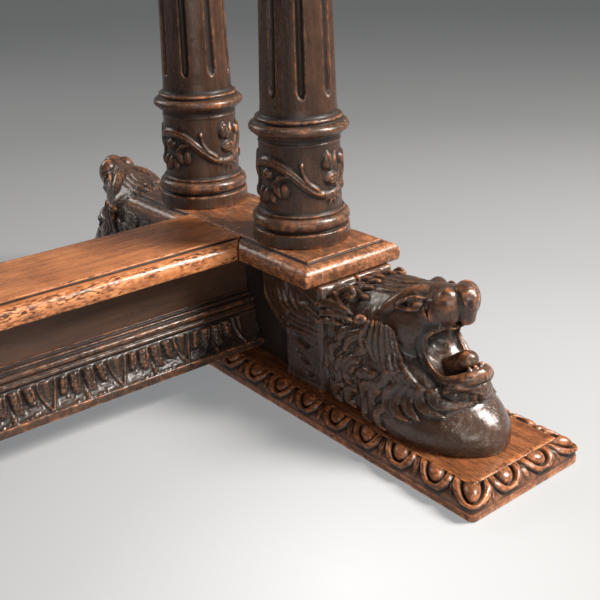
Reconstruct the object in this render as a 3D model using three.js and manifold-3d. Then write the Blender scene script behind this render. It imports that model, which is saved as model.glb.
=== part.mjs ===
// A carved oak communion table. Two end frames, each a sole board with a lion at either
// end and a pair of fluted columns, carry a boxed frieze and a planked top, and a moulded
// stretcher joins the frames low down. Millimetres, +Z up, the origin on the floor at the
// centre of the table, X along its length and -Y towards its front.
import * as THREE from "three";
import { mergeVertices } from "three/addons/utils/BufferGeometryUtils.js";
import Module from "manifold-3d";

const wasm = await Module();
wasm.setup();

// ---- Driving dimensions ----
const GAP = 0.3; // clearance left between fitted pieces
const TABLE_LENGTH = 1520;
const TABLE_DEPTH = 790;
const TABLE_HEIGHT = 780;
const END_X = 560; // centre line of each end frame

const FOOT_T = 23; // sole board
const FOOT_HALF_W = 53.7; // to the step of its carved edge
const FOOT_HALF_L = 361;
const FOOT_OUT = 14.6; // how far the carved edge stands beyond the step

const CAP_TOP = 152; // top of the low cap and of the stretcher
const CAP_T = 20.5;
const CAP_HALF_W = 45.8; // to the step of the moulded edge
const CAP_HALF_L = 150;
const EDGE_OUT = 13.7; // how far the moulded edge stands beyond its step

const CORE_HALF_W = 30; // block between the two lions of an end frame
const CORE_HALF_L = 112;
const PANEL_HALF_W = 46; // the lions' carved side panels

const COLUMN_Y = 86; // the columns stand this far either side of the centre
const COLUMN_H = 495;
const SPIGOT_R = 15;
const SPIGOT_L = 17;

const BEAM_HALF_T = 30; // the stretcher's upright web
const BEAM_BOTTOM = 30.5;
const BEAM_MOULD_TOP = 87; // top of its carved base moulding
const TENON = { thick: 30, tall: 62, long: 24, low: 46 };

const HEAD_T = 20.5;
const HEAD_BOTTOM = CAP_TOP + COLUMN_H;
const BEARER_BOTTOM = HEAD_BOTTOM + HEAD_T;
const BEARER_W = 70;
const TOP_T = 22;
const TOP_BOTTOM = TABLE_HEIGHT - TOP_T;

const APRON_T = 24;
const APRON_BOTTOM = 672;
const APRON_HALF_L = 700; // outer faces of the frieze box
const APRON_HALF_W = 352;
const BED_OUT = 24; // carved moulding under the top
const BED_H = 27;
const BEAD_OUT = 7; // plain moulding at the frieze's lower edge
const BEAD_H = 13;

const CLAMP_W = 92; // cross-grain boards at the ends of the top
const GROOVE = { depth: 9, tall: 7, low: 733 }; // in the rails, for the buttons

const SCREW = { shank: 2.5, head: 5, seat: 4, long: 48, sides: 8 };

// ---- Materials ----
const oak = (colour, roughness) =>
  new THREE.MeshStandardMaterial({ color: colour, roughness, metalness: 0 });
const MATERIALS = {
  carved: oak(0x2b1a12, 0.38),
  turned: oak(0x2a1911, 0.34),
  moulded: oak(0x5a2f1a, 0.36),
  frame: oak(0x4a2f1e, 0.6),
  top: oak(0x6e3b20, 0.32),
  steel: new THREE.MeshStandardMaterial({ color: 0x6b6a68, roughness: 0.45, metalness: 0.9 }),
};

// ---- Solids ----
// A geometry as a manifold solid: vertices merged and collapsed triangles dropped.
function solid(geometry) {
  const bare = geometry.clone();
  for (const name of Object.keys(bare.attributes)) {
    if (name !== "position") bare.deleteAttribute(name);
  }
  const merged = mergeVertices(bare, 1e-3);
  const triangles = [];
  for (let i = 0; i < merged.index.count; i += 3) {
    const [a, b, c] = merged.index.array.slice(i, i + 3);
    if (a !== b && b !== c && c !== a) triangles.push(a, b, c);
  }
  return new wasm.Manifold(
    new wasm.Mesh({
      numProp: 3,
      vertProperties: new Float32Array(merged.attributes.position.array),
      triVerts: new Uint32Array(triangles),
    }),
  );
}

function indexedSolid(positions, faces) {
  const geometry = new THREE.BufferGeometry();
  geometry.setAttribute("position", new THREE.BufferAttribute(new Float32Array(positions), 3));
  geometry.setIndex(faces);
  return solid(geometry);
}

function geometryOf(manifold) {
  const mesh = manifold.getMesh();
  const geometry = new THREE.BufferGeometry();
  geometry.setAttribute("position", new THREE.BufferAttribute(mesh.vertProperties, 3));
  geometry.setIndex(new THREE.BufferAttribute(mesh.triVerts, 1));
  geometry.computeVertexNormals();
  return geometry;
}

const join = (...solids) => solids.reduce((all, next) => all.add(next));
const cut = (body, ...tools) => tools.reduce((left, tool) => left.subtract(tool), body);

// A box from its lowest to its highest corner.
function box(low, high) {
  const size = high.map((value, axis) => value - low[axis]);
  const centre = high.map((value, axis) => (value + low[axis]) / 2);
  return solid(new THREE.BoxGeometry(...size).translate(...centre));
}

function cylinder(radius, low, high, x, y, sides = 20, topRadius = radius) {
  const height = high - low;
  const geometry = new THREE.CylinderGeometry(topRadius, radius, height, sides);
  return solid(geometry.rotateX(Math.PI / 2).translate(x, y, low + height / 2));
}

// A closed plan outline of [x, y] points, raised from one level to another.
function planPrism(outline, low, high) {
  const shape = new THREE.Shape(outline.map(([x, y]) => new THREE.Vector2(x, y)));
  const options = { depth: high - low, bevelEnabled: false };
  return solid(new THREE.ExtrudeGeometry(shape, options).translate(0, 0, low));
}

// A side outline of [forward, z] points, between two x values; forward is towards -Y.
function sidePrism(outline, low, high) {
  const shape = new THREE.Shape(outline.map(([y, z]) => new THREE.Vector2(-y, z)));
  const options = { depth: high - low, bevelEnabled: false };
  const geometry = new THREE.ExtrudeGeometry(shape, options);
  const turn = new THREE.Matrix4().set(0, 0, 1, low, 1, 0, 0, 0, 0, 1, 0, 0, 0, 0, 0, 1);
  return solid(geometry.applyMatrix4(turn));
}

// A rectangular board whose edge follows a profile of [outward, z] points from the step
// at the top face down to the underside, mitred at the four corners.
function mouldedBoard(halfX, halfY, profile) {
  const positions = [];
  const faces = [];
  for (const [out, z] of profile) {
    const x = halfX + out;
    const y = halfY + out;
    positions.push(-x, -y, z, x, -y, z, x, y, z, -x, y, z);
  }
  for (let ring = 0; ring + 1 < profile.length; ring += 1) {
    for (let side = 0; side < 4; side += 1) {
      const next = (side + 1) % 4;
      const [a, b] = [ring * 4 + side, ring * 4 + next];
      const [c, d] = [b + 4, a + 4];
      faces.push(a, c, b, a, d, c);
    }
  }
  const last = (profile.length - 1) * 4;
  faces.push(0, 1, 2, 0, 2, 3, last, last + 2, last + 1, last, last + 3, last + 2);
  return indexedSolid(positions, faces);
}

// A straight moulding with a closed [outward, z] section, mitred at both ends so that it
// gets longer as it stands further out. It runs along X and stands out towards -Y.
function mitredStrip(halfLength, section) {
  const contour = section.map(([out, z]) => new THREE.Vector2(out, z));
  const caps = THREE.ShapeUtils.triangulateShape(contour, []);
  const positions = [];
  for (const end of [-1, 1]) {
    for (const [out, z] of section) positions.push(end * (halfLength + out), -out, z);
  }
  const n = section.length;
  const faces = [];
  for (const [a, b, c] of caps) faces.push(a, b, c, n + a, n + c, n + b);
  for (let i = 0; i < n; i += 1) {
    const j = (i + 1) % n;
    faces.push(i, n + j, j, i, n + i, n + j);
  }
  return indexedSolid(positions, faces);
}

// Turned work: a profile of [radius, z] points that starts and ends on the axis.
function turned(profile, sides) {
  const points = profile.map(([r, z]) => new THREE.Vector2(r, z));
  return solid(new THREE.LatheGeometry(points, sides).rotateX(Math.PI / 2));
}

// A quarter or half round of [outward, z] points between two angles, in degrees.
function round(centreOut, centreZ, radiusOut, radiusZ, from, to, steps) {
  return Array.from({ length: steps + 1 }, (_, i) => {
    const a = THREE.MathUtils.degToRad(from + ((to - from) * i) / steps);
    return [centreOut + radiusOut * Math.cos(a), centreZ + radiusZ * Math.sin(a)];
  });
}

// ---- Profiles ----
// Step, fillet and full round nosing of the caps, the stretcher and the table top.
const nosing = (top, thick) => [
  [0, top],
  [0, top - 2.4],
  [3.6, top - 2.6],
  [8.6, top - 3.8],
  [12, top - 7],
  [EDGE_OUT, top - 12.5],
  [EDGE_OUT, top - 16],
  [12.7, top - thick],
];

// Quarter round over a square fillet, the ground of the egg carving.
const soleEdge = [
  [0, FOOT_T],
  [0, FOOT_T - 1.5],
  ...round(1, FOOT_T - 15, FOOT_OUT - 1.8, 13, 80, 0, 4),
  [FOOT_OUT, FOOT_T - 15.5],
  [FOOT_OUT, 0],
];

const cavetto = (out, low, high) => [
  [0, high],
  [0, low],
  [out * 0.25, low],
  ...round(out, low, -out * 0.72, (high - low) * 0.78, 0, 90, 4),
  [out, high],
];

// The base moulding of the stretcher, out from the face of its web.
const baseMoulding = [
  [0, BEAM_MOULD_TOP],
  [0, BEAM_BOTTOM],
  [25.5, BEAM_BOTTOM],
  [25.5, BEAM_BOTTOM + 8],
  [24.4, BEAM_BOTTOM + 9],
  [18.5, BEAM_BOTTOM + 14.5],
  [14.2, BEAM_BOTTOM + 21.5],
  [12, BEAM_BOTTOM + 29],
  [11.2, BEAM_BOTTOM + 35],
  [12.4, BEAM_BOTTOM + 38],
  [11.4, BEAM_BOTTOM + 42],
  [11.4, BEAM_BOTTOM + 47],
  [6, BEAM_BOTTOM + 50],
  [5.4, BEAM_BOTTOM + 53],
  [1.6, BEAM_BOTTOM + 54.5],
  [1.6, BEAM_MOULD_TOP],
];

// Column: plinth disc and torus, carved drum, ring, tapered shaft, necking and capital.
const columnProfile = [
  [0, -SPIGOT_L],
  [SPIGOT_R, -SPIGOT_L],
  [SPIGOT_R, 0],
  [47.6, 0],
  [47.6, 13.6],
  [45, 14.6],
  ...round(41, 21.4, 6.4, 6, -50, 80, 3),
  [42.6, 28.6],
  [42.6, 30.8],
  [39.8, 33],
  [38.4, 93],
  [41, 96],
  [41, 101],
  ...round(41, 108.6, 6.6, 5.8, -70, 75, 3),
  [40.6, 115.5],
  [37.6, 119],
  [35.7, 146],
  [34.5, 182],
  [29.2, 380],
  [28.6, 402],
  [32.6, 405],
  [32.6, 411],
  [28.6, 414],
  [28.6, 434],
  [36, 449],
  [40, 466],
  [40, 470],
  [45, 473],
  [45, COLUMN_H],
  [SPIGOT_R, COLUMN_H],
  [SPIGOT_R, COLUMN_H + SPIGOT_L],
  [0, COLUMN_H + SPIGOT_L],
];

const FLUTES = { count: 8, low: 137, high: 388, lowR: 5.6, highR: 4.4, inset: 1.2 };

// ---- Pieces of an end frame, built about its own centre ----
function soleBoard() {
  const holes = screwSpots.map(([x, y]) =>
    join(
      cylinder(SCREW.shank + GAP, -1, FOOT_T + 1, x, y, SCREW.sides),
      cylinder(SCREW.head + GAP, -1, SCREW.seat, x, y, SCREW.sides),
    ),
  );
  return cut(mouldedBoard(FOOT_HALF_W, FOOT_HALF_L, soleEdge), ...holes);
}

const screwSpots = [-220, -70, 70, 220].map((y) => [0, y]);
const pilotHole = (x, y) =>
  cylinder(SCREW.shank + GAP, FOOT_T - 1, SCREW.long + GAP, x, y, SCREW.sides);

function screw() {
  return join(
    cylinder(SCREW.shank, 0.8, SCREW.long, 0, 0, SCREW.sides),
    cylinder(SCREW.head, 0.4, SCREW.seat, 0, 0, SCREW.sides),
  );
}

function coreBlock() {
  const block = box(
    [-CORE_HALF_W, -CORE_HALF_L, FOOT_T],
    [CORE_HALF_W, CORE_HALF_L, CAP_TOP - CAP_T],
  );
  const half = TENON.thick / 2 + GAP;
  const mortise = box(
    [-CORE_HALF_W - 1, -half, TENON.low - GAP],
    [-CORE_HALF_W + TENON.long + GAP, half, TENON.low + TENON.tall + GAP],
  );
  const pilots = [pilotHole(0, -70), pilotHole(0, 70)];
  return cut(block, mortise, ...pilots);
}

// Half-width of the lion's breast on the sole board, from the flanks round to its front.
const breastPlan = [
  [50, 270],
  [47, 303],
  [40, 324],
  [31, 339],
  [19, 350],
  [6, 356],
];

function lion() {
  const under = CAP_TOP - CAP_T - GAP;
  const back = CORE_HALF_L + GAP;
  const flank = [
    [back, FOOT_T],
    [back, under],
    [166, under],
    [178, 136],
    [207, 143],
    [232, 134],
    [246, 104],
    [276, 82],
    [322, 72],
    [338, 66],
    [352, 54],
    [357, 41],
    [350, FOOT_T],
  ];
  const skull = [
    [190, 60],
    [190, 140],
    [214, 147],
    [246, 151.5],
    [258, 146],
    [270, 116],
    [262, 96],
    [276, 70],
  ];
  const muzzle = [
    [250, 116],
    [250, 146],
    [270, 153],
    [294, 162],
    [308, 158.5],
    [313, 151],
    [306, 128],
    [290, 121],
    [270, 108],
  ];
  const jaw = [
    [258, 62],
    [258, 104],
    [274, 90],
    [300, 100],
    [318, 104],
    [327, 91],
    [326, 64],
  ];
  const scroll = [
    [78, under],
    [83, 110],
    [95, 90],
    [111, 70],
    [back + 1, 69],
    [back + 1, under],
  ];
  const gill = CORE_HALF_W + GAP;
  const body = join(
    sidePrism(flank, -50, 50),
    sidePrism(skull, -38, 38),
    sidePrism(muzzle, -28, 28),
    sidePrism(jaw, -22, 22),
    sidePrism(scroll, gill, PANEL_HALF_W),
    sidePrism(scroll, -PANEL_HALF_W, -gill),
  );
  const right = breastPlan.map(([x, y]) => [x, -y]);
  const left = breastPlan.map(([x, y]) => [-x, -y]).reverse();
  const plan = [[PANEL_HALF_W, -60], ...right, ...left, [-PANEL_HALF_W, -60]];
  const bulk = planPrism(plan, 0, CAP_TOP + 20);
  return cut(body.intersect(bulk), pilotHole(0, -220));
}

// Plan of the place where the stretcher's top meets the cap: square between the two steps
// and mitred through the moulded edges.
const jointPlan = [
  [-CAP_HALF_W, CAP_HALF_W],
  [-CAP_HALF_W - 30, CAP_HALF_W + 30],
  [-CAP_HALF_W - 30, -CAP_HALF_W - 30],
  [-CAP_HALF_W, -CAP_HALF_W],
];

function columnSockets(low, high) {
  const radius = SPIGOT_R + GAP;
  return [-COLUMN_Y, COLUMN_Y].map((y) => cylinder(radius, low, high, 0, y, 24));
}

function capBoard() {
  const board = mouldedBoard(CAP_HALF_W, CAP_HALF_L, nosing(CAP_TOP, CAP_T));
  const seat = planPrism(jointPlan, CAP_TOP - CAP_T - 1, CAP_TOP + 1);
  const sockets = columnSockets(CAP_TOP - SPIGOT_L - GAP, CAP_TOP + 1);
  return cut(board, seat, ...sockets);
}

// The same moulded board under the frieze, its nosing turned down to the capitals.
function headBoard() {
  const edge = nosing(0, HEAD_T).map(([out, z]) => [out, -z]);
  const board = mouldedBoard(CAP_HALF_W, CAP_HALF_L, edge.reverse());
  const seated = board.translate([0, 0, HEAD_BOTTOM]);
  const sockets = columnSockets(HEAD_BOTTOM - 1, HEAD_BOTTOM + SPIGOT_L + GAP);
  return cut(seated, ...sockets);
}

function bearer() {
  const half = APRON_HALF_W - APRON_T - GAP;
  const corner = 60;
  const outline = [
    [-half, TOP_BOTTOM],
    [-half, APRON_BOTTOM + BEAD_H],
    [-half + corner, BEARER_BOTTOM],
    [half - corner, BEARER_BOTTOM],
    [half, APRON_BOTTOM + BEAD_H],
    [half, TOP_BOTTOM],
  ];
  return sidePrism(outline, -BEARER_W / 2, BEARER_W / 2);
}

function column() {
  const shaft = turned(columnProfile, 24);
  const length = FLUTES.high - FLUTES.low;
  const cutter = new THREE.CapsuleGeometry(1, 1, 1, 6);
  const flutes = Array.from({ length: FLUTES.count }, (_, i) => {
    const tool = cutter.clone().rotateX(Math.PI / 2);
    const p = tool.attributes.position;
    for (let k = 0; k < p.count; k += 1) {
      const up = p.getZ(k) > 0;
      const radius = up ? FLUTES.highR : FLUTES.lowR;
      const seat = (up ? 29.4 : 36.6) + FLUTES.inset;
      const level = p.getZ(k) + (up ? -0.5 : 0.5);
      const z = (FLUTES.low + FLUTES.high) / 2 + (up ? length / 2 : -length / 2);
      p.setXYZ(k, p.getX(k) * radius + seat, p.getY(k) * radius, z + level * radius);
    }
    return solid(tool.rotateZ((i * 2 * Math.PI) / FLUTES.count));
  });
  return cut(shaft, ...flutes);
}

// ---- The stretcher ----
const MITRE_X = END_X - CAP_HALF_W; // where its top board meets each cap
const CORE_FACE = END_X - CORE_HALF_W;

function stretcherTop() {
  const section = nosing(CAP_TOP, CAP_T);
  const front = section.map(([out, z]) => [CAP_HALF_W + out, z]);
  const back = section.map(([out, z]) => [-CAP_HALF_W - out, z]).reverse();
  const bar = sidePrism([...front, ...back], -END_X, END_X);
  const outline = [
    [MITRE_X - GAP, CAP_HALF_W],
    [MITRE_X - GAP - 30, CAP_HALF_W + 30],
    [END_X + 10, CAP_HALF_W + 30],
    [END_X + 10, -CAP_HALF_W - 30],
    [MITRE_X - GAP - 30, -CAP_HALF_W - 30],
    [MITRE_X - GAP, -CAP_HALF_W],
  ];
  const right = planPrism(outline, CAP_TOP - CAP_T - 1, CAP_TOP + 1);
  const ends = [right, right.rotate([0, 0, 180])];
  return cut(bar, ...ends);
}

function stretcherBeam() {
  const end = CORE_FACE - GAP;
  const web = box([-end, -BEAM_HALF_T, BEAM_BOTTOM], [end, BEAM_HALF_T, CAP_TOP - CAP_T]);
  const reach = end + TENON.long;
  const half = TENON.thick / 2;
  const top = TENON.low + TENON.tall;
  return join(web, box([-reach, -half, TENON.low], [reach, half, top]));
}

function stretcherMoulding() {
  const end = CORE_FACE - GAP;
  const outline = baseMoulding.map(([out, z]) => [BEAM_HALF_T + GAP + out, z]);
  return sidePrism(outline, -end, end);
}

// ---- The frieze box and the top ----
function apron(halfLength) {
  const rail = box([-halfLength, -APRON_T, APRON_BOTTOM], [halfLength, 0, TOP_BOTTOM]);
  const groove = box(
    [-halfLength - 1, -GROOVE.depth, GROOVE.low],
    [halfLength + 1, 1, GROOVE.low + GROOVE.tall],
  );
  return cut(rail, groove);
}

function cornerBlock() {
  const side = 58;
  const outline = [
    [GAP, GAP],
    [side, GAP],
    [GAP, side],
  ];
  return planPrism(outline, APRON_BOTTOM + 14, TOP_BOTTOM - GAP);
}

// A wooden button: a block screwed under the top with a tongue in the rail's groove.
function button() {
  const tongue = GROOVE.depth - 2;
  const outline = [
    [-tongue, GROOVE.low + GAP],
    [-tongue, GROOVE.low + GROOVE.tall - GAP],
    [GAP, GROOVE.low + GROOVE.tall - GAP],
    [GAP, TOP_BOTTOM - GAP],
    [42, TOP_BOTTOM - GAP],
    [42, GROOVE.low + GAP],
  ];
  const forward = outline.map(([inward, z]) => [-inward, z]);
  return sidePrism(forward, -16, 16);
}

function crossRail() {
  const half = APRON_HALF_W - APRON_T - GAP;
  return box([-20, -half, APRON_BOTTOM + 10], [20, half, TOP_BOTTOM]);
}

const topHalfX = TABLE_LENGTH / 2 - EDGE_OUT;
const topHalfY = TABLE_DEPTH / 2 - EDGE_OUT;

// One board of the top: what lies between two x values and two y values.
function topBoard(low, high) {
  const whole = mouldedBoard(topHalfX, topHalfY, nosing(TABLE_HEIGHT, TOP_T));
  const piece = box([...low, TOP_BOTTOM - 1], [...high, TABLE_HEIGHT + 1]);
  return whole.intersect(piece);
}

// ---- Assembly ----
const table = new THREE.Group();

function place(parent, name, manifold, material, position = [0, 0, 0], turn = 0) {
  const mesh = new THREE.Mesh(geometryOf(manifold), MATERIALS[material]);
  mesh.name = name;
  mesh.position.set(...position);
  mesh.rotation.z = turn;
  parent.add(mesh);
}

const FLUTE_TURNS = { front: 33.7, back: 5.9 }; // each column was set at its own angle

const ends = [
  ["right", END_X, 0],
  ["left", -END_X, Math.PI],
];
for (const [side, x, turn] of ends) {
  const end = new THREE.Group();
  end.position.x = x;
  end.rotation.z = turn;
  table.add(end);
  const fore = side === "right" ? "front" : "back";
  const aft = side === "right" ? "back" : "front";
  place(end, `sole_board_${side}`, soleBoard(), "moulded");
  place(end, `core_block_${side}`, coreBlock(), "carved");
  place(end, `cap_board_${side}`, capBoard(), "moulded");
  place(end, `head_board_${side}`, headBoard(), "moulded");
  place(end, `end_bearer_${side}`, bearer(), "frame");
  place(end, `lion_${fore}_${side}`, lion(), "carved");
  place(end, `lion_${aft}_${side}`, lion(), "carved", [0, 0, 0], Math.PI);
  for (const [name, y, angle] of [
    [fore, -COLUMN_Y, FLUTE_TURNS.front],
    [aft, COLUMN_Y, FLUTE_TURNS.back],
  ]) {
    const flute = THREE.MathUtils.degToRad(-90 - angle);
    place(end, `column_${name}_${side}`, column(), "turned", [0, y, CAP_TOP], flute);
  }
  screwSpots.forEach(([sx, sy], i) => {
    place(end, `sole_screw_${side}_${i + 1}`, screw(), "steel", [sx, sy, 0]);
  });
}

place(table, "stretcher_top", stretcherTop(), "moulded");
place(table, "stretcher_beam", stretcherBeam(), "carved");
place(table, "stretcher_moulding_front", stretcherMoulding(), "carved");
place(table, "stretcher_moulding_back", stretcherMoulding(), "carved", [0, 0, 0], Math.PI);

// The long rails run through; the end rails fit between them.
const sides = [
  ["front", [0, -APRON_HALF_W, 0], 0, APRON_HALF_L],
  ["back", [0, APRON_HALF_W, 0], Math.PI, APRON_HALF_L],
  ["right", [APRON_HALF_L, 0, 0], Math.PI / 2, APRON_HALF_W],
  ["left", [-APRON_HALF_L, 0, 0], -Math.PI / 2, APRON_HALF_W],
];
const bedLow = TOP_BOTTOM - BED_H;
for (const [side, position, turn, half] of sides) {
  const long = side === "front" || side === "back";
  const railHalf = long ? half : half - APRON_T - GAP;
  const inner = position.map((value) => (value === 0 ? 0 : value - Math.sign(value) * APRON_T));
  place(table, `apron_${side}`, apron(railHalf), "frame", inner, turn);
  const bed = mitredStrip(half, cavetto(BED_OUT, bedLow, TOP_BOTTOM));
  const bead = [
    [0, APRON_BOTTOM + BEAD_H],
    [0, APRON_BOTTOM],
    ...round(2, APRON_BOTTOM + BEAD_H / 2, BEAD_OUT - 2, BEAD_H / 2, -90, 90, 4),
  ];
  const outer = position.map((value) => (value === 0 ? 0 : value + Math.sign(value) * GAP));
  place(table, `bed_moulding_${side}`, bed, "moulded", outer, turn);
  place(table, `apron_bead_${side}`, mitredStrip(half, bead), "moulded", outer, turn);
}

const innerX = APRON_HALF_L - APRON_T;
const innerY = APRON_HALF_W - APRON_T;
[
  ["front_left", -innerX, -innerY, 0],
  ["front_right", innerX, -innerY, Math.PI / 2],
  ["back_right", innerX, innerY, Math.PI],
  ["back_left", -innerX, innerY, -Math.PI / 2],
].forEach(([name, x, y, turn]) => {
  place(table, `corner_block_${name}`, cornerBlock(), "frame", [x, y, 0], turn);
});

place(table, "cross_rail", crossRail(), "frame");

[
  ["front_1", -280, -innerY, 0],
  ["front_2", 280, -innerY, 0],
  ["back_1", -280, innerY, Math.PI],
  ["back_2", 280, innerY, Math.PI],
  ["right", innerX, 0, Math.PI / 2],
  ["left", -innerX, 0, -Math.PI / 2],
].forEach(([name, x, y, turn]) => {
  place(table, `button_${name}`, button(), "frame", [x, y, 0], turn);
});

// Three long planks between two cross-grain clamps.
const plankEnd = TABLE_LENGTH / 2 - CLAMP_W;
const plankSplit = [-TABLE_DEPTH / 2 - 1, -128, 122, TABLE_DEPTH / 2 + 1];
["front", "middle", "back"].forEach((name, i) => {
  const low = [-plankEnd + GAP, plankSplit[i] + GAP / 2];
  const high = [plankEnd - GAP, plankSplit[i + 1] - GAP / 2];
  place(table, `top_plank_${name}`, topBoard(low, high), "top");
});
[
  ["right", [plankEnd, TABLE_LENGTH / 2 + 1]],
  ["left", [-TABLE_LENGTH / 2 - 1, -plankEnd]],
].forEach(([name, [low, high]]) => {
  const y = TABLE_DEPTH / 2 + 1;
  place(table, `top_clamp_${name}`, topBoard([low, -y], [high, y]), "top");
});

export default table;
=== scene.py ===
"""The communion table's visual model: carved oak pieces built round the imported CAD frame.

Shapes are worked out in millimetres in each piece's own frame and placed in metres. An end
frame's pieces are made for the right end and turned half round for the left one.
"""

import math

import bmesh
import bpy
import numpy as np
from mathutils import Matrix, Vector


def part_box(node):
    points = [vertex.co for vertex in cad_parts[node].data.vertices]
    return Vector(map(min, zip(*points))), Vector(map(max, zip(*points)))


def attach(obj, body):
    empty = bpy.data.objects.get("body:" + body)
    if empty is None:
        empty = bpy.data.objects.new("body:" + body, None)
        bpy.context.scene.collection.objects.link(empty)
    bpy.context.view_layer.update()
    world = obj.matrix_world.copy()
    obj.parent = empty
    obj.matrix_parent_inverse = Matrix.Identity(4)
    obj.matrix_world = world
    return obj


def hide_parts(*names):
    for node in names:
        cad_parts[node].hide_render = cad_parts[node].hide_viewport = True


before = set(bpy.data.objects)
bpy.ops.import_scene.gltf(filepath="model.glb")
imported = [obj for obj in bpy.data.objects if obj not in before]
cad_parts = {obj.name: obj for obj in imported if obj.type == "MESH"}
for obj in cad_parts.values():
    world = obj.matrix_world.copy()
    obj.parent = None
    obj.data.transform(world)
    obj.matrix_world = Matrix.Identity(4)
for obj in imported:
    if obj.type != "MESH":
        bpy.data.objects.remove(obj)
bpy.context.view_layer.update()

import openvdb
from mathutils import Matrix, Vector

MM = 0.001
GAP = 0.3  # clearance between fitted pieces, as in the CAD


# ---------------------------------------------------------------- sizes from the frame
def box_mm(node):
    """A CAD node's lowest and highest corners, in millimetres."""
    low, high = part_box(node)
    return np.array(low) / MM, np.array(high) / MM


cap_low, cap_high = box_mm("cap_board_right")
sole_low, sole_high = box_mm("sole_board_right")
column_low, column_high = box_mm("column_front_right")
head_low, _ = box_mm("head_board_right")
core_low, core_high = box_mm("core_block_right")
base_low, base_high = box_mm("stretcher_moulding_front")

END_X = round(float(cap_low[0] + cap_high[0]) / 2, 2)
CAP_TOP = float(cap_high[2])
CAP_T = float(cap_high[2] - cap_low[2])
SOLE_T = float(sole_high[2])
EDGE_OUT = 13.7  # the caps' moulded edge beyond its step
SOLE_OUT = 14.6  # the sole boards' carved edge beyond its step
CAP_HALF_W = float(cap_high[0] - cap_low[0]) / 2 - EDGE_OUT
CAP_HALF_L = float(cap_high[1]) - EDGE_OUT
SOLE_HALF_W = float(sole_high[0] - sole_low[0]) / 2 - SOLE_OUT
SOLE_HALF_L = float(sole_high[1]) - SOLE_OUT
COLUMN_Y = round(-float(column_low[1] + column_high[1]) / 2, 1)
HEAD_BOTTOM = float(head_low[2])
CORE_HALF_W = float(core_high[0] - core_low[0]) / 2


# ---------------------------------------------------------------- materials
class Graph:
    """A material's node tree, with short calls to add and join nodes."""

    def __init__(self, name):
        self.material = bpy.data.materials.new(name)
        self.material.use_nodes = True
        self.tree = self.material.node_tree
        self.shader = self.tree.nodes["Principled BSDF"]

    def fill(self, node, inputs):
        """Feed a node's inputs by name, with an underscore for a space."""
        for key, value in inputs.items():
            self.feed(node.inputs[key.replace("_", " ")], value)
        return node

    def node(self, kind, settings=None, **inputs):
        made = self.tree.nodes.new("ShaderNode" + kind)
        for key, value in (settings or {}).items():
            setattr(made, key, value)
        return self.fill(made, inputs)

    def feed(self, socket, value):
        if isinstance(value, bpy.types.NodeSocket):
            self.tree.links.new(value, socket)
        else:
            socket.default_value = value

    def math(self, operation, first, second, clamp=False):
        made = self.node("Math", {"operation": operation, "use_clamp": clamp})
        self.feed(made.inputs[0], first)
        self.feed(made.inputs[1], second)
        return made.outputs[0]

    def product(self, first, *others):
        for value in others:
            first = self.math("MULTIPLY", first, value)
        return first

    def span(self, value, low, high, to_low=0.0, to_high=1.0):
        """A value carried from one range to another."""
        ends = {"From_Min": low, "From_Max": high, "To_Min": to_low, "To_Max": to_high}
        return self.node("MapRange", Value=value, **ends).outputs[0]

    def attribute(self, name):
        return self.node("Attribute", {"attribute_name": name}).outputs["Fac"]

    def place(self):
        return self.node("TexCoord").outputs["Object"]

    def noise(self, stretch, detail=3.0, distortion=0.0):
        """Noise whose features are 1 / stretch metres along each axis."""
        mapped = self.node("Mapping", Vector=self.place(), Scale=stretch).outputs[0]
        look = {"Scale": 1.0, "Detail": detail, "Distortion": distortion}
        return self.node("TexNoise", Vector=mapped, **look).outputs["Fac"]

    def bump(self, strength, distance, height, **below):
        """A bumped normal, over the one below if it is given."""
        look = {"Strength": strength, "Distance": distance, "Height": height}
        return self.node("Bump", **look, **below).outputs[0]

    def ramp(self, factor, stops):
        made = self.node("ValToRGB", Fac=factor)
        ramp = made.color_ramp
        while len(ramp.elements) < len(stops):
            ramp.elements.new(0.5)
        for element, (position, colour) in zip(ramp.elements, stops):
            element.position = position
            element.color = (*colour, 1.0)
        return made.outputs["Color"]

    def finish(self, **inputs):
        """The material, once the shader has its inputs."""
        self.fill(self.shader, inputs)
        return self.material


DARK_STOPS = [
    (0.00, (0.004, 0.0018, 0.001)),
    (0.34, (0.013, 0.006, 0.003)),
    (0.52, (0.034, 0.016, 0.009)),
    (0.70, (0.070, 0.032, 0.017)),
    (0.86, (0.170, 0.064, 0.027)),
    (1.00, (0.380, 0.145, 0.058)),
]
WARM_STOPS = [
    (0.00, (0.006, 0.0025, 0.0015)),
    (0.30, (0.022, 0.009, 0.004)),
    (0.50, (0.085, 0.032, 0.013)),
    (0.68, (0.240, 0.082, 0.030)),
    (0.84, (0.440, 0.160, 0.058)),
    (1.00, (0.600, 0.260, 0.110)),
]
GRAIN = {"X": (0.07, 1.0, 1.0), "Y": (1.0, 0.07, 1.0), "Z": (1.0, 1.0, 0.07)}


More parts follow.
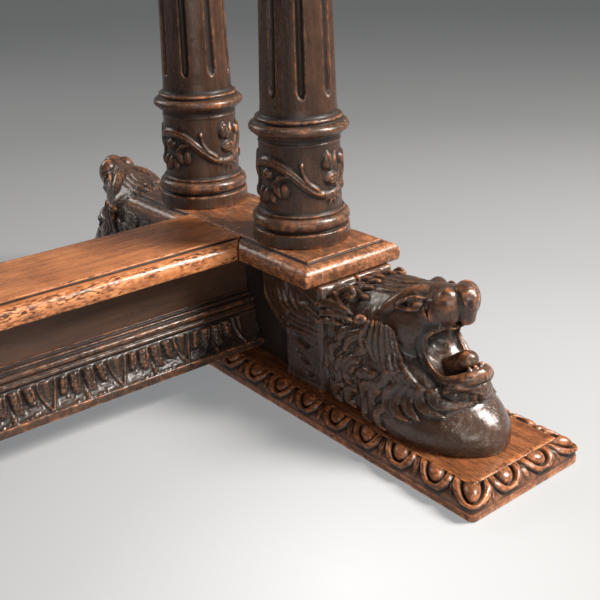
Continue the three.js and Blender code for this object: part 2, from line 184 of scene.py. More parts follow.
def oak(
    name, axis, stops=DARK_STOPS, tone=0.0, worn=0.6, gloss=0.33, figure=0.2, patches=0.3,
    relief=0.5, coat=0.14, stipple=0.0, flecks=0.0, facets=0.0,
):
    """Waxed old oak. The wear-and-shade attribute lightens worn arrises where a patchy noise lets
    it; below its middle it darkens the colour as painted shade in hollows and steps.
    """
    graph = Graph(name)

    def grain(scale, detail, distortion=0.0, evenly=0):
        """Noise drawn out along the grain; evenly is added to the scale in every direction."""
        stretch = [value * scale + evenly for value in GRAIN[axis]]
        return graph.noise(stretch, detail, distortion)

    fine = grain(950, 4.0, 0.2)
    pores = grain(2600, 2.0)
    rings = grain(130, 3.0, 1.2)
    patch = graph.noise([22.0] * 3, 4.0)
    smear = grain(60, 5.0, 0.6, 20)
    rubbed = graph.noise([140.0] * 3, 5.0, 0.4)
    wear_and_shade = graph.attribute("wear_and_shade")

    let = graph.span(rubbed, 0.36, 0.66, 0.15, 1.7)
    ridge = graph.math("SUBTRACT", wear_and_shade, 0.5)
    raised = graph.product(graph.math("MAXIMUM", ridge, 0.0), let, worn)
    # Below its middle the attribute darkens the colour, as painted shade in hollows and along
    # steps.
    sunk_shade = graph.math("MINIMUM", ridge, 0.0)
    level = graph.math("ADD", graph.math("ADD", raised, sunk_shade), 0.5 + tone)
    for source, amount in (
        (fine, figure * 0.7),
        (rings, figure),
        (patch, patches),
        (smear, patches * 0.8),
    ):
        shift = graph.product(graph.math("SUBTRACT", source, 0.5), amount)
        level = graph.math("ADD", level, shift)
    pore = graph.span(pores, 0.34, 0.46)
    depth = graph.product(graph.math("SUBTRACT", 1.0, pore), 0.12)
    level = graph.math("SUBTRACT", level, depth, clamp=True)
    if flecks:
        # Dark specks in the rubbed wood, in clusters and only on the arrises.
        dark = graph.span(grain(420, 6.0, 0.5, 160), 0.55, 0.42)
        often = graph.span(smear, 0.38, 0.56)
        edge = graph.span(wear_and_shade, 0.62, 0.7)
        dark = graph.product(dark, often, flecks, edge)
        level = graph.math("SUBTRACT", level, dark, clamp=True)

    dull = graph.span(wear_and_shade, 0.2, 0.5, gloss + 0.3, gloss)
    rough = graph.math("ADD", dull, graph.product(smear, 0.16), clamp=True)

    height = graph.math("ADD", graph.product(fine, 0.5), pore)
    height = graph.math("ADD", height, graph.product(smear, 1.2))
    height = graph.math("ADD", height, graph.product(rubbed, 1.6))
    normal = graph.bump(relief, 0.0004, height)
    if facets:
        normal = graph.bump(facets, 0.003, graph.noise([115.0] * 3, 2.0), Normal=normal)
    if stipple:
        dots = graph.node("TexVoronoi", Vector=graph.place(), Scale=480.0).outputs["Distance"]
        punched = graph.product(dots, graph.attribute("stipple"))
        normal = graph.bump(stipple, 0.0012, punched, Normal=normal)
    return graph.finish(
        Base_Color=graph.ramp(level, stops), Roughness=rough, Normal=normal,
        Specular_IOR_Level=0.4, Coat_Weight=coat, Coat_Roughness=0.24,
    )


def steel(name):
    """Dull drawn steel for the hidden screws."""
    graph = Graph(name)
    scratch = graph.noise([900, 900, 120], 3.0)
    colour = graph.ramp(scratch, [(0.3, (0.10, 0.095, 0.09)), (0.75, (0.30, 0.29, 0.28))])
    rough = graph.math("ADD", graph.product(scratch, 0.3), 0.3)
    return graph.finish(
        Base_Color=colour, Metallic=0.9, Roughness=rough,
        Normal=graph.bump(0.3, 0.0003, scratch),
    )


MATERIALS = {
    "lion": oak(
        "lion_oak", "Y", tone=0.09, worn=0.7, gloss=0.18, patches=0.2, coat=0.45, stipple=0.7,
        facets=0.8,
    ),
    "turned": oak("turned_oak", "Z", tone=0.08, worn=0.45, gloss=0.2, figure=0.36, patches=0.26),
    "cap": oak("cap_oak", "Y", tone=0.27, worn=0.7, gloss=0.2, figure=0.3, patches=0.4, flecks=0.2),
    "rail": oak("rail_oak", "X", WARM_STOPS, 0.28, 0.6, 0.14, 0.26, 0.34, coat=0.12, flecks=0.45),
    "sole": oak("sole_oak", "Y", WARM_STOPS, 0.09, 0.5, 0.17, 0.4, 0.24, flecks=0.2),
    "base": oak("base_oak", "X", tone=0.02, worn=0.46, gloss=0.18, patches=0.36, relief=0.7),
    "beam": oak("beam_oak", "X", tone=0.16, worn=0.6, gloss=0.44, figure=0.22, patches=0.24),
    # The core block's oak is painted darker, as painted shade for the recess it stands in.
    "core": oak("core_oak_painted_shade", "Z", tone=-0.14, gloss=0.55, coat=0.0),
    "frieze_x": oak("frieze_oak_x", "X", tone=0.16, gloss=0.36, figure=0.3, patches=0.4),
    "frieze_y": oak("frieze_oak_y", "Y", tone=0.16, gloss=0.36, figure=0.3, patches=0.4),
    "inner_x": oak("inner_oak_x", "X", WARM_STOPS, 0.0, gloss=0.6, figure=0.3),
    "inner_y": oak("inner_oak_y", "Y", WARM_STOPS, 0.0, gloss=0.6, figure=0.3),
    "top_x": oak("top_oak_x", "X", WARM_STOPS, 0.14, 0.8, 0.26, 0.42, 0.26),
    "top_y": oak("top_oak_y", "Y", WARM_STOPS, 0.12, 0.8, 0.26, 0.42, 0.26),
    "steel": steel("screw_steel"),
}


# ---------------------------------------------------------------- meshes
def edge_pairs(faces):
    """Every edge of some faces of one size, once for each face that has it."""
    following = np.roll(faces, -1, axis=1)
    return np.stack([faces.T.ravel(), following.T.ravel()], 1)


def vertex_normals(points, faces):
    """Unit normals at the vertices, weighted by face area."""
    across = points[faces[:, 2]] - points[faces[:, 0]]
    other = points[faces[:, -1]] - points[faces[:, 1]]
    normal = np.cross(across, other)
    total = np.zeros_like(points)
    for corner in range(faces.shape[1]):
        for axis in range(3):
            total[:, axis] += np.bincount(faces[:, corner], normal[:, axis], len(points))
    length = np.linalg.norm(total, axis=1, keepdims=True)
    return total / np.maximum(length, 1e-9)


def neighbour_mean(values, pairs, counts):
    """The mean of each vertex's neighbours, for an array of values with any columns."""
    result = np.empty_like(values)
    for axis in range(values.shape[1]):
        column = values[:, axis]
        total = np.bincount(pairs[:, 0], column[pairs[:, 1]], len(values))
        total += np.bincount(pairs[:, 1], column[pairs[:, 0]], len(values))
        result[:, axis] = total / counts
    return result


def relief_wear_and_shade(points, faces, gain=0.9, deep=0.22, rounds=(6, 40)):
    """How worn and how shaded each vertex is: 0.5 on plain ground, more on worn ridges, less in
    hollows, which is painted shade.

    The surface is compared with smoothed copies of itself, once lightly and once heavily.
    """
    pairs = edge_pairs(faces)
    counts = np.bincount(pairs.ravel(), minlength=len(points)).astype(float)
    counts = np.maximum(counts, 1.0)
    normal = vertex_normals(points, faces)
    wear_and_shade = np.full(len(points), 0.5)
    smooth = points.copy()
    done = 0
    for until, strength in zip(rounds, (gain, deep)):
        while done < until:
            smooth = 0.5 * smooth + 0.5 * neighbour_mean(smooth, pairs, counts)
            done += 1
        height = np.einsum("ij,ij->i", points - smooth, normal)
        # Hollows fall below 0.5, where the materials paint shade; ridges rise above it as real
        # wear.
        wear_and_shade += strength * np.clip(height, -1.2, 1.2)
    return np.clip(wear_and_shade, 0.0, 1.0)


HERE = Matrix()
HALF_TURN = Matrix.Rotation(math.pi, 4, "Z")
# Where the pieces of the end frames go, from the frame at the origin.
RIGHT_END = Matrix.Translation((END_X * MM, 0, 0))
LEFT_END = Matrix.Translation((-END_X * MM, 0, 0)) @ HALF_TURN


def add_piece(placings, points, faces, material, slot, wear_and_shade=None, **fields):
    """One mesh, from points in millimetres, used at every place in a dict of names and placings."""
    mesh = bpy.data.meshes.new(next(iter(placings)))
    mesh.vertices.add(len(points))
    mesh.vertices.foreach_set("co", np.asarray(points, np.float32).ravel() * MM)
    sides = faces.shape[1]
    mesh.loops.add(faces.size)
    mesh.loops.foreach_set("vertex_index", faces.astype(np.int32).ravel())
    mesh.polygons.add(len(faces))
    mesh.polygons.foreach_set("loop_start", np.arange(len(faces), dtype=np.int32) * sides)
    mesh.polygons.foreach_set("use_smooth", np.ones(len(faces), bool))
    mesh.update(calc_edges=True)
    wear_and_shade = relief_wear_and_shade(points, faces) if wear_and_shade is None else wear_and_shade
    for key, values in {"wear_and_shade": wear_and_shade, **fields}.items():
        layer = mesh.attributes.new(key, "FLOAT", "POINT")
        layer.data.foreach_set("value", np.asarray(values, np.float32))
    for name, placing in placings.items():
        dress(mesh, name, name, material, placing)


def dress(mesh, name, node, material, placing=HERE):
    """Put a mesh in the scene with its material and body, in place of a CAD node."""
    if not mesh.materials:
        mesh.materials.append(MATERIALS[material])
    piece = bpy.data.objects.new(name, mesh)
    piece.matrix_world = placing
    bpy.context.scene.collection.objects.link(piece)
    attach(piece, "root")
    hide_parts(node)


# ---------------------------------------------------------------- curves and carving
def smooth_curve(points, count):
    """Points along a Catmull-Rom curve through some control points."""
    control = np.array(points, float)
    padded = np.vstack([2 * control[0] - control[1], control, 2 * control[-1] - control[-2]])
    spans = len(control) - 1
    place = np.linspace(0, spans, count)
    first = np.minimum(place.astype(int), spans - 1)
    t = (place - first)[:, None]
    a, b, c, d = (padded[first + shift] for shift in range(4))
    return 0.5 * (
        2 * b + (c - a) * t + (2 * a - 5 * b + 4 * c - d) * t**2
        + (3 * b - a - 3 * c + d) * t**3
    )


def spread(values, count):
    """A few values drawn out evenly to a number of values."""
    return np.interp(np.linspace(0, 1, count), np.linspace(0, 1, len(values)), values)


class Relief:
    """A height map over a flat patch, which repeats along its length."""

    def __init__(self, width, height, step):
        self.width, self.height, self.step = width, height, step
        columns, rows = int(round(width / step)), int(round(height / step)) + 1
        self.u, self.v = np.meshgrid(
            np.arange(columns) * step, np.arange(rows) * step, indexing="ij"
        )
        self.map = np.zeros_like(self.u)

    def offset(self, u, v):
        du = (self.u - u + self.width / 2) % self.width - self.width / 2
        return du, self.v - v

    def tube(self, points, radii, height, count=30, cut=False):
        """A round-topped ridge, or a groove, along a curve, tapering from radius to radius."""
        path = smooth_curve(points, count)
        profile = np.zeros_like(self.map)
        for (u, v), radius in zip(path, spread(radii, count)):
            du, dv = self.offset(u, v)
            near = 1 - (du**2 + dv**2) / radius**2
            profile = np.maximum(profile, np.sqrt(np.maximum(near, 0)) * radius)
        profile *= height / max(radii)
        self.map = self.map - profile if cut else np.maximum(self.map, profile)

    def dome(self, u, v, ru, rv, height, angle=0.0):
        """An oval boss, turned by an angle in degrees."""
        du, dv = self.offset(u, v)
        c, s = math.cos(math.radians(angle)), math.sin(math.radians(angle))
        inside = 1 - ((du * c + dv * s) / ru) ** 2 - ((dv * c - du * s) / rv) ** 2
        self.map = np.maximum(self.map, height * np.sqrt(np.maximum(inside, 0)))

    def sample(self, u, v):
        """The height at places on the patch, bilinearly."""
        columns, rows = self.map.shape
        x = np.asarray(u) / self.step
        y = np.clip(np.asarray(v) / self.step, 0, rows - 1.001)
        i, j = np.floor(x).astype(int), np.floor(y).astype(int)
        fx, fy = x - i, y - j
        i0, i1 = i % columns, (i + 1) % columns
        low = self.map[i0, j] * (1 - fx) + self.map[i1, j] * fx
        high = self.map[i0, j + 1] * (1 - fx) + self.map[i1, j + 1] * fx
        return low * (1 - fy) + high * fy


def sloppiness(u, v, seed, size=0.25, scale=14.0):
    """Gentle hand-made unevenness, in millimetres, as a sum of a few seeded waves."""
    rng = np.random.default_rng(seed)
    total = np.zeros(np.broadcast(u, v).shape)
    for _ in range(6):
        angle, phase = rng.uniform(0, 2 * math.pi, 2)
        reach = scale * rng.uniform(0.6, 2.2)
        total += np.sin((u * math.cos(angle) + v * math.sin(angle)) * 2 * math.pi / reach + phase)
    return total * size / 3.5


def profile_points(profile, step):
    """A profile's points filled in at about one step apart, with its arc length and normals."""
    profile = np.array(profile, float)
    filled = [profile[:1]]
    for a, b in zip(profile[:-1], profile[1:]):
        parts = max(1, int(round(np.linalg.norm(b - a) / step)))
        filled.append(a + (b - a) * np.linspace(0, 1, parts + 1)[1:, None])
    points = np.vstack(filled)
    arc = np.concatenate([[0], np.cumsum(np.linalg.norm(np.diff(points, axis=0), axis=1))])
    tangent = np.gradient(points, arc, axis=0)
    tangent /= np.linalg.norm(tangent, axis=1, keepdims=True)
    return points, arc, np.stack([-tangent[:, 1], tangent[:, 0]], 1)


def arc_points(out, z, radius_out, radius_z, start, end, count=10):
    """Points on an oval arc between two angles, in degrees from straight outwards."""
    angles = np.radians(np.linspace(start, end, count))
    return [(out + radius_out * math.cos(a), z + radius_z * math.sin(a)) for a in angles]


def grid_faces(rows, columns, closed=False):
    """Quads over a grid of points, row by row; a closed grid joins its last column."""
    across = columns if closed else columns - 1
    i, j = np.meshgrid(np.arange(rows - 1), np.arange(across), indexing="ij")
    i, j = i.ravel(), j.ravel()
    k = (j + 1) % columns
    return np.stack(
        [i * columns + j, (i + 1) * columns + j, (i + 1) * columns + k, i * columns + k], 1
    )


def line(x, y, z):
    """Points from coordinates that are each one value or many."""
    return np.stack(np.broadcast_arrays(x, y, z), -1)


def spin(points, angle):
    """Points turned about the vertical, by one angle or by their own ones."""
    x, y, z = (points[..., axis] for axis in range(3))
    c, s = np.cos(angle), np.sin(angle)
    return line(x * c - y * s, x * s + y * c, z)


def swept_skin(rows):
    """A closed skin from lines of points that lie in order round a section."""
    return close_rings(np.array(rows).transpose(1, 0, 2)[:, ::-1])


# ---------------------------------------------------------------- moulded boards
CORNER_REACH = 3.0  # how far round a corner the carving treats each half of its bend


def perimeter(half_x, half_y, step):
    """Places round a rounded rectangle: side, share of its straight part, turn round its end.

    The turn is in quarter circles, from 0 on the straight part to 1 at the next side.
    """
    places = []
    for side in range(4):
        half = half_x if side % 2 == 0 else half_y
        for share in np.linspace(-1, 1, int(2 * half / step)):
            places.append((side, share, 0.0))
        for turn in np.linspace(0, 1, 12)[1:-1]:
            places.append((side, 1.0, turn))
    return (np.array(column) for column in zip(*places))


def board_edge(half_x, half_y, profile, step, carve=None, rounding=0.3, seed=1):
    """Rings of points round a board's edge, following a profile down from the top's step.

    The profile's points are (outward, z). carve gives a height from the distance along a
    side, the side's half length and the arc length down the profile.
    """
    points, arc, normal = profile_points(profile, step)
    side, share, turn = perimeter(half_x, half_y, step)
    side = side.astype(int)
    angle = turn * math.pi / 2
    own = np.where(side % 2 == 0, half_x, half_y)
    other = np.where(side % 2 == 0, half_y, half_x)
    # Beyond the middle of a bend the carving belongs to the next side.
    later = turn > 0.5
    along = share * own + np.where(later, 0, turn) * CORNER_REACH * 2
    along = np.where(later, -(other + (1 - turn) * CORNER_REACH * 2), along)
    half = np.where(later, other, own) + CORNER_REACH
    rings = []
    for (out, z), down, (n_out, n_z) in zip(points, arc, normal):
        height = sloppiness(along + side * 300, down, seed, 0.12)
        if carve is not None:
            height = height + carve(along, half, down)
        radius = 0.3 + rounding * max(out, 0)
        reach = radius + height * n_out
        local_x = share * (own + out - radius) + np.sin(angle) * reach
        local_y = -(other + out - radius + np.cos(angle) * reach)
        local = line(local_x, local_y, z + height * n_z)
        rings.append(spin(local, side * math.pi / 2))
    return np.array(rings)


def close_rings(rings):
    """A closed skin from rings: the rings joined, with a fan over the first and the last."""
    rows, columns, _ = rings.shape
    points = rings.reshape(-1, 3)
    first = rings[0].mean(axis=0)
    last = rings[-1].mean(axis=0)
    total = len(points)
    inner_first = first + (rings[0] - first) * 0.985
    inner_last = last + (rings[-1] - last) * 0.985
    points = np.vstack([points, inner_first, inner_last, first, last])
    faces = [grid_faces(rows, columns, closed=True)]
    j = np.arange(columns)
    k = (j + 1) % columns
    a, b = total, total + columns
    end = (rows - 1) * columns
    faces.append(np.stack([a + j, j, k, a + k], 1))
    faces.append(np.stack([end + j, b + j, b + k, end + k], 1))
    pairs = np.arange(0, columns - 1, 2)
    top, bottom = total + 2 * columns, total + 2 * columns + 1
    n1, n2 = (pairs + 1) % columns, (pairs + 2) % columns
    faces.append(np.stack([np.full_like(pairs, top), a + pairs, a + n1, a + n2], 1))
    faces.append(np.stack([np.full_like(pairs, bottom), b + n2, b + n1, b + pairs], 1))
    return points, np.vstack(faces)


def nosing(top, thick):
    """The caps' edge: a small step, a narrow flat and a full round, down to the underside."""
    return (
        [(-0.8, top), (-0.25, top - 0.1), (0, top - 0.5), (0, top - 2.2), (0.5, top - 2.5)]
        + [(3.2, top - 2.6)]
        + arc_points(4.0, top - 13, EDGE_OUT - 4.0, 9.9, 82, 0, 12)
        + [(EDGE_OUT, top - 15.5), (13.3, top - 18.5), (12.6, top - thick + 0.4)]
        + [(12.1, top - thick), (10, top - thick)]
    )


# ---- egg and dart ----
EGG = {"half_width": 8.4, "length": 11.6, "height": 5.2}
RIM = {"from": 1.2, "middle": 6.2, "until": 10.4}  # beyond the egg's outline
EGGS_ALONG, EGGS_ACROSS = 18, 3  # on a sole board's long and short sides
BED_EGG_PITCH = 44  # about; the eggs divide a bed moulding evenly


def egg_and_dart(from_egg, spacing, down):
    """Height of the carving: an egg in its broad rim, and a dart halfway to the next one."""
    u = np.abs(from_egg)
    sideways = u / EGG["half_width"]
    below = np.maximum(down, 0) / EGG["length"]
    q = np.maximum(np.hypot(sideways, below), 1e-6)
    egg = EGG["height"] * np.sqrt(np.maximum(0, 1 - q**2)) ** 0.75 - 1.0
    # The rim is broad at the egg's sides and thin below it.
    beyond = (q - 1) * (9.0 + 9.0 * (below / q) ** 2)
    groove = -2.8 * np.exp(-np.abs((beyond - RIM["from"]) / 1.5) ** 3)
    rim = 3.0 * np.exp(-np.abs((beyond - RIM["middle"]) / 4.1) ** 4)
    outer_groove = -1.8 * np.exp(-(((beyond - RIM["until"]) / 0.8) ** 2))
    dart_u = spacing / 2 - u
    taper = np.clip(1 - down / 18.0, 0.0, 1.0) ** 0.8
    dart = 1.5 * np.exp(-np.abs(dart_u / (0.5 + 3.6 * taper)) ** 4) * (taper > 0)
    crease = -1.3 * np.exp(-(((dart_u - 0.5) / 0.8) ** 2)) * taper
    dart = np.where(beyond > RIM["until"], dart + crease, 0)
    return np.where(q < 1, np.maximum(egg, -2.2), groove + rim + outer_groove + dart)


def nearest_egg(along, half, count):
    """How far off the nearest of the eggs along a side is, and how far apart they are."""
    spacing = 2 * half / count
    phase = (along + half) / spacing
    return (phase - np.round(phase)) * spacing, spacing


def sole_carving(along, half, down):
    """Eggs round a sole board's edge, one on each corner and the rest evenly between."""
    count = np.where(half > SOLE_HALF_W * 2, EGGS_ALONG, EGGS_ACROSS)
    from_egg, spacing = nearest_egg(along, half, count)
    # A corner egg is wider, as it bends round the corner.
    from_egg = from_egg * np.where(half - np.abs(along) < spacing / 2, 0.74, 1.0)
    fade = np.clip((20.2 - down) / 1.6, 0, 1) * np.clip((down - 1.8) / 1.0, 0, 1)
    return egg_and_dart(from_egg, spacing, down - 3.0) * fade


SOLE_EDGE = (
    [(-0.8, SOLE_T), (-0.25, SOLE_T - 0.1), (0, SOLE_T - 0.5), (0, SOLE_T - 1.5)]
    + [(0.9, SOLE_T - 1.8)]
    + arc_points(0.6, SOLE_T - 14.8, SOLE_OUT - 1.2, 12.8, 84, 2, 14)
    + [(SOLE_OUT - 0.3, SOLE_T - 15.4), (SOLE_OUT, SOLE_T - 16.2)]
    + [(SOLE_OUT, 1.2), (SOLE_OUT - 0.6, 0.3)]
    + [(SOLE_OUT - 1.6, 0), (SOLE_OUT - 4, 0)]
)


def outside(points, half_x, half_y):
    """How far points lie beyond an upright rectangle's sides."""
    return np.maximum(np.abs(points[..., 0]) - half_x, np.abs(points[..., 1]) - half_y)


def step_shade(points, half_x, half_y):
    """How much painted shade darkens the step round a board's flat top."""
    out = outside(points, half_x, half_y)
    return -0.4 * np.exp(-(((out - 1.3) / 1.6) ** 2))


def place_ends(name, points, faces, material, shade=0.0):
    """A moulded board used at both end frames."""
    placings = {f"{name}_right": RIGHT_END, f"{name}_left": LEFT_END}
    wear_and_shade = relief_wear_and_shade(points, faces) + shade
    add_piece(placings, points, faces, material, "moulded_oak", wear_and_shade)


def build_sole_boards():
    rings = board_edge(SOLE_HALF_W, SOLE_HALF_L, SOLE_EDGE, 0.95, sole_carving, 0.38, 3)
    rings[:, :, 2] = np.maximum(rings[:, :, 2], 0)
    points, faces = close_rings(rings)
    out = outside(points, SOLE_HALF_W, SOLE_HALF_L)
    carved = np.clip(out - 0.8, 0, 1) * np.clip((points[:, 2] - SOLE_T + 15) / 4, 0, 1)
    fillet = (out > 4) & (points[:, 2] < SOLE_T - 15.6)
    # The step along the top gets painted shade; the carved band is darkened and the fillet
    # lightened.
    shade = step_shade(points, SOLE_HALF_W, SOLE_HALF_L) * 0.5 - 0.15 * carved + 0.14 * fillet
    place_ends("sole_board", points, faces, "sole", shade)


def build_cap_and_head_boards():
    """The low caps, notched where the stretcher meets them, and the boards on the columns."""
    rings = board_edge(CAP_HALF_W, CAP_HALF_L, nosing(CAP_TOP, CAP_T), 1.1, None, 0.12, 5)
    # The inner long side has no edge where the stretcher's top joins it.
    x, y = rings[:, :, 0], rings[:, :, 1]
    rings[:, :, 0] = np.where((x < -CAP_HALF_W) & (np.abs(y) < -x), -CAP_HALF_W, x)
    points, faces = close_rings(rings)
    # Painted shade along the step round the flat top.
    shade = step_shade(points, CAP_HALF_W, CAP_HALF_L)
    place_ends("cap_board", points, faces, "cap", shade)

    rings = board_edge(CAP_HALF_W, CAP_HALF_L, nosing(0, CAP_T), 1.4, None, 0.12, 6)
    rings[:, :, 2] = HEAD_BOTTOM - rings[:, :, 2]
    place_ends("head_board", *close_rings(rings[:, ::-1]), "cap")


# ---------------------------------------------------------------- columns
FLUTE_TURN = {"front": 33.7, "back": 5.9}  # degrees, as the CAD columns are turned
FLUTE_LOW, FLUTE_HIGH = 138, 388
FLUTE_HALF_WIDTH = (3.9, 3.1)  # at the foot and at the head
FLUTE_END = 9.0  # the length of a flute's round end
FLUTE_DEPTH = 0.95  # of a half circle's
DRUM_LOW, DRUM_HIGH, DRUM_R = 33.0, 95.0, 39.0
COLUMN_SIDES = 264

COLUMN_PROFILE = (
    [(15, 0), (46.8, 0), (47.4, 0.5), (47.6, 1.2), (47.6, 12.6), (47.2, 13.4), (46.2, 13.9)]
    + [(43.6, 14.0), (43.4, 14.8)]
    + arc_points(40.6, 21.6, 6.9, 6.7, -66, 86, 14)
    + [(42.4, 28.4), (42.4, 30.4), (41.8, 30.9), (40.4, 31.2), (39.9, 33.0)]
    + [(39.6, 45), (39.1, 70), (38.8, 95.0), (39.1, 95.5), (39.5, 96.2), (39.3, 97.0)]
    + [(38.9, 97.5), (38.9, 101.4), (39.4, 102.4), (42.0, 102.8), (42.4, 103.4), (42.4, 104.2)]
    + arc_points(40.8, 109.6, 6.8, 5.3, -68, 78, 14)
    + [(42.0, 114.9), (40.4, 115.3), (40.2, 116.2), (41.3, 116.8), (41.6, 118.0)]
    + [(41.2, 119.2), (39.4, 120.0), (37.4, 120.8), (36.6, 123), (36.1, 130), (35.7, 146)]
    + [(34.5, 182), (31.9, 280)]
    + [(29.2, 380), (28.7, 400), (29.2, 402.4), (31.6, 403)]
    + arc_points(30.2, 407.5, 3.2, 4.2, -70, 80, 8)
    + [(28.8, 412.6), (28.5, 416), (28.5, 430), (29.6, 436), (32.4, 443), (36.2, 449)]
    + [(38.8, 456), (39.8, 463), (40, 466), (38.6, 467), (38.8, 468.4), (41, 470)]
    + [(44.2, 472), (45, 473.6), (45, 494.4), (44.4, 495), (15, 495)]
)


VINE_START = {"front": 100.0, "back": 96.0}  # degrees, where a wave's left crest stands
VINE_WAVE = math.pi * DRUM_R  # two waves go round a drum


def vine_carving():
    """One wave of the drum's vine, from crest to crest: stem, buds and leaves."""
    vine = Relief(VINE_WAVE, DRUM_HIGH - DRUM_LOW, 0.5)

    def tube(path, *rest, **more):
        vine.tube([(u, z - DRUM_LOW) for u, z in path], *rest, **more)

    def dome(u, z, *rest):
        vine.dome(u, z - DRUM_LOW, *rest)

    stem = [
        (-13, 75), (0, 79.5), (18, 79.5), (32, 72), (45, 60), (57, 51.5), (72, 48.5),
        (89, 54), (101, 66), (110, 75), (122.5, 79.5),
    ]
    tube(stem, (3.4, 4.6, 4.4, 4.0, 3.6, 3.2, 2.6, 2.6, 3.0, 3.4), 3.6, 150)
    for lift in (-1.5, 1.3):
        vein = [(u + lift * 0.5, z + lift) for u, z in stem[1:7]]
        tube(vein, (0.6, 0.9, 0.5), 1.2, 90, cut=True)
    # A bud on its own stalk, then the three leaves under the crest.
    tube([(58, 55), (50, 61), (45, 69), (43, 77)], (2.2, 1.9, 1.3), 2.6, 40)
    dome(43, 78.5, 2.2, 3.0, 2.8)
    dome(8, 69, 5.6, 5.4, 4.4)
    tube([(6, 73), (9, 69), (8, 65)], (0.7, 0.9, 0.5), 1.1, 20, cut=True)
    tube([(34, 69), (26, 68), (18, 64), (14, 57)], (1.8, 2.2, 1.6), 2.4, 40)
    for u, z, lean in ((2, 46.5, -14), (24, 54, 10)):
        swing = math.radians(lean)
        for way in (-1, 1):
            dome(u + way * 3.4 * math.cos(swing), z + 1.2, 4.6, 8.0, 3.6, lean - way * 14)
        vein = [(u - 8 * math.sin(swing), z + 8), (u, z), (u + 8 * math.sin(swing), z - 9)]
        tube(vein, (1.0, 0.8, 0.4), 1.5, 24, cut=True)
    dome(14, 47, 3.0, 6.0, 2.4, 30)
    # The upright bud, the fluted flower and the small bud in the trough.
    dome(68, 81.5, 4.8, 8.6, 4.4, -14)
    tube([(66, 90), (68, 82), (70, 74)], (0.6, 0.9, 0.5), 1.4, 24, cut=True)
    tube([(72, 74), (77, 81), (80, 88)], (2.4, 3.0, 1.0), 3.2, 24)
    dome(74, 64, 8.6, 6.2, 4.6, 8)
    for shift in (-3.4, 0.0, 3.4):
        petal = [(67, 64 + shift), (75, 66 + shift), (81, 63 + shift)]
        tube(petal, (0.7, 0.8, 0.4), 1.3, 24, cut=True)
    tube([(80, 56), (86, 66), (90, 76)], (2.0, 1.8, 1.2), 2.4, 30)
    dome(90.5, 79.5, 4.8, 5.4, 4.2)
    tube([(98, 84), (104, 70), (99, 60)], (2.6, 3.2, 2.0), 3.2, 30)
    # A small leaf of four lobes below the trough.
    for tip_u, tip_z in ((64, 43), (70, 38), (79, 38), (88, 43)):
        middle = ((74 + tip_u) / 2, (47 + tip_z) / 2 + 1)
        tube([(74, 47), middle, (tip_u, tip_z)], (1.2, 2.4, 0.8), 2.0, 20)
    tube([(110, 72), (114, 62), (112, 52), (117, 44)], (1.8, 2.0, 1.0), 2.2, 30)
    dome(110, 49, 4.6, 6.6, 3.2, 20)
    return vine


VINE = vine_carving()


def build_columns():
    profile = profile_points(COLUMN_PROFILE, 1.15)[0]
    # The long fluted shaft needs fewer rings than the turned mouldings.
    level = profile[:, 1]
    in_shaft = (level > 150) & (level < 378)
    profile = profile[~in_shaft | (np.arange(len(level)) % 4 == 0)]
    # Angles run from straight forwards towards -X, as the flutes' turn is given.
    theta = np.linspace(0, 2 * math.pi, COLUMN_SIDES, endpoint=False)
    radius, z = profile[:, :1], profile[:, 1:]
    width = np.interp(z, (FLUTE_LOW - 1, FLUTE_HIGH), FLUTE_HALF_WIDTH)
    ending = np.clip(np.minimum(z - FLUTE_LOW, FLUTE_HIGH - z) / FLUTE_END, 0, 1)
    flute_half = width * np.sqrt(1 - (1 - ending) ** 2)
    drum_edge = np.minimum(z - DRUM_LOW - 0.6, DRUM_HIGH - 1.5 - z)
    for row, other, y, seed in (("front", "back", -COLUMN_Y, 11), ("back", "front", COLUMN_Y, 12)):
        from_flute = (np.degrees(theta) - FLUTE_TURN[row] + 22.5) % 45 - 22.5
        off = np.abs(from_flute) * math.pi / 180 * radius
        reach = radius - np.sqrt(np.maximum(0, flute_half**2 - off**2)) * FLUTE_DEPTH
        start = math.radians(VINE_START[row])
        vine = VINE.sample((start - theta) * DRUM_R, np.maximum(z - DRUM_LOW, 0))
        reach = reach + vine * np.clip(drum_edge, 0, 1)
        reach = reach + sloppiness(theta * DRUM_R, z, seed, 0.1)
        x, forward = -reach * np.sin(theta), -reach * np.cos(theta)
        points, faces = close_rings(line(x, forward + y, z + CAP_TOP))
        placings = {f"column_{row}_right": RIGHT_END, f"column_{other}_left": LEFT_END}
        wear_and_shade = relief_wear_and_shade(points, faces, gain=0.7, deep=0.2)
        add_piece(placings, points, faces, "turned", "turned_oak", wear_and_shade)


# ---------------------------------------------------------------- the stretcher
def build_stretcher_top():
    """The stretcher's top board, its moulded edges mitred to the caps'."""
    half = CAP_HALF_W
    mitre = END_X - CAP_HALF_W - GAP
    share = np.linspace(-1, 1, 520)
    front = []
    for (out, z), down, (n_out, n_z) in zip(*profile_points(nosing(CAP_TOP, CAP_T), 1.1)):
        uneven = sloppiness(share * mitre, down, 21, 0.16, 40)
        reach = out + uneven * n_out
        length = mitre - np.maximum(reach, 0)
        front.append(line(share * length, -(half + reach), z + uneven * n_z))
    back = [row * (1, -1, 1) for row in front]
    flat = []
    for y in np.linspace(-half + 0.8, half - 0.8, 24)[1:-1]:
        uneven = sloppiness(share * mitre, y, 22, 0.05, 60)
        flat.append(line(share * mitre, y, CAP_TOP + uneven))
    under = [line(share * (mitre - 10), y, CAP_TOP - CAP_T) for y in (-half + 6, half - 6)]
    skin, faces = swept_skin(back[::-1] + flat[::-1] + front + under)
    # Painted shade along the step beside the flat top, added to the wear and hollow shade.
    wear_and_shade = relief_wear_and_shade(skin, faces) + step_shade(skin, 1000, half)
    add_piece({"stretcher_top": HERE}, skin, faces, "rail", "moulded_oak", wear_and_shade)


LEAF_PITCH = 71.4


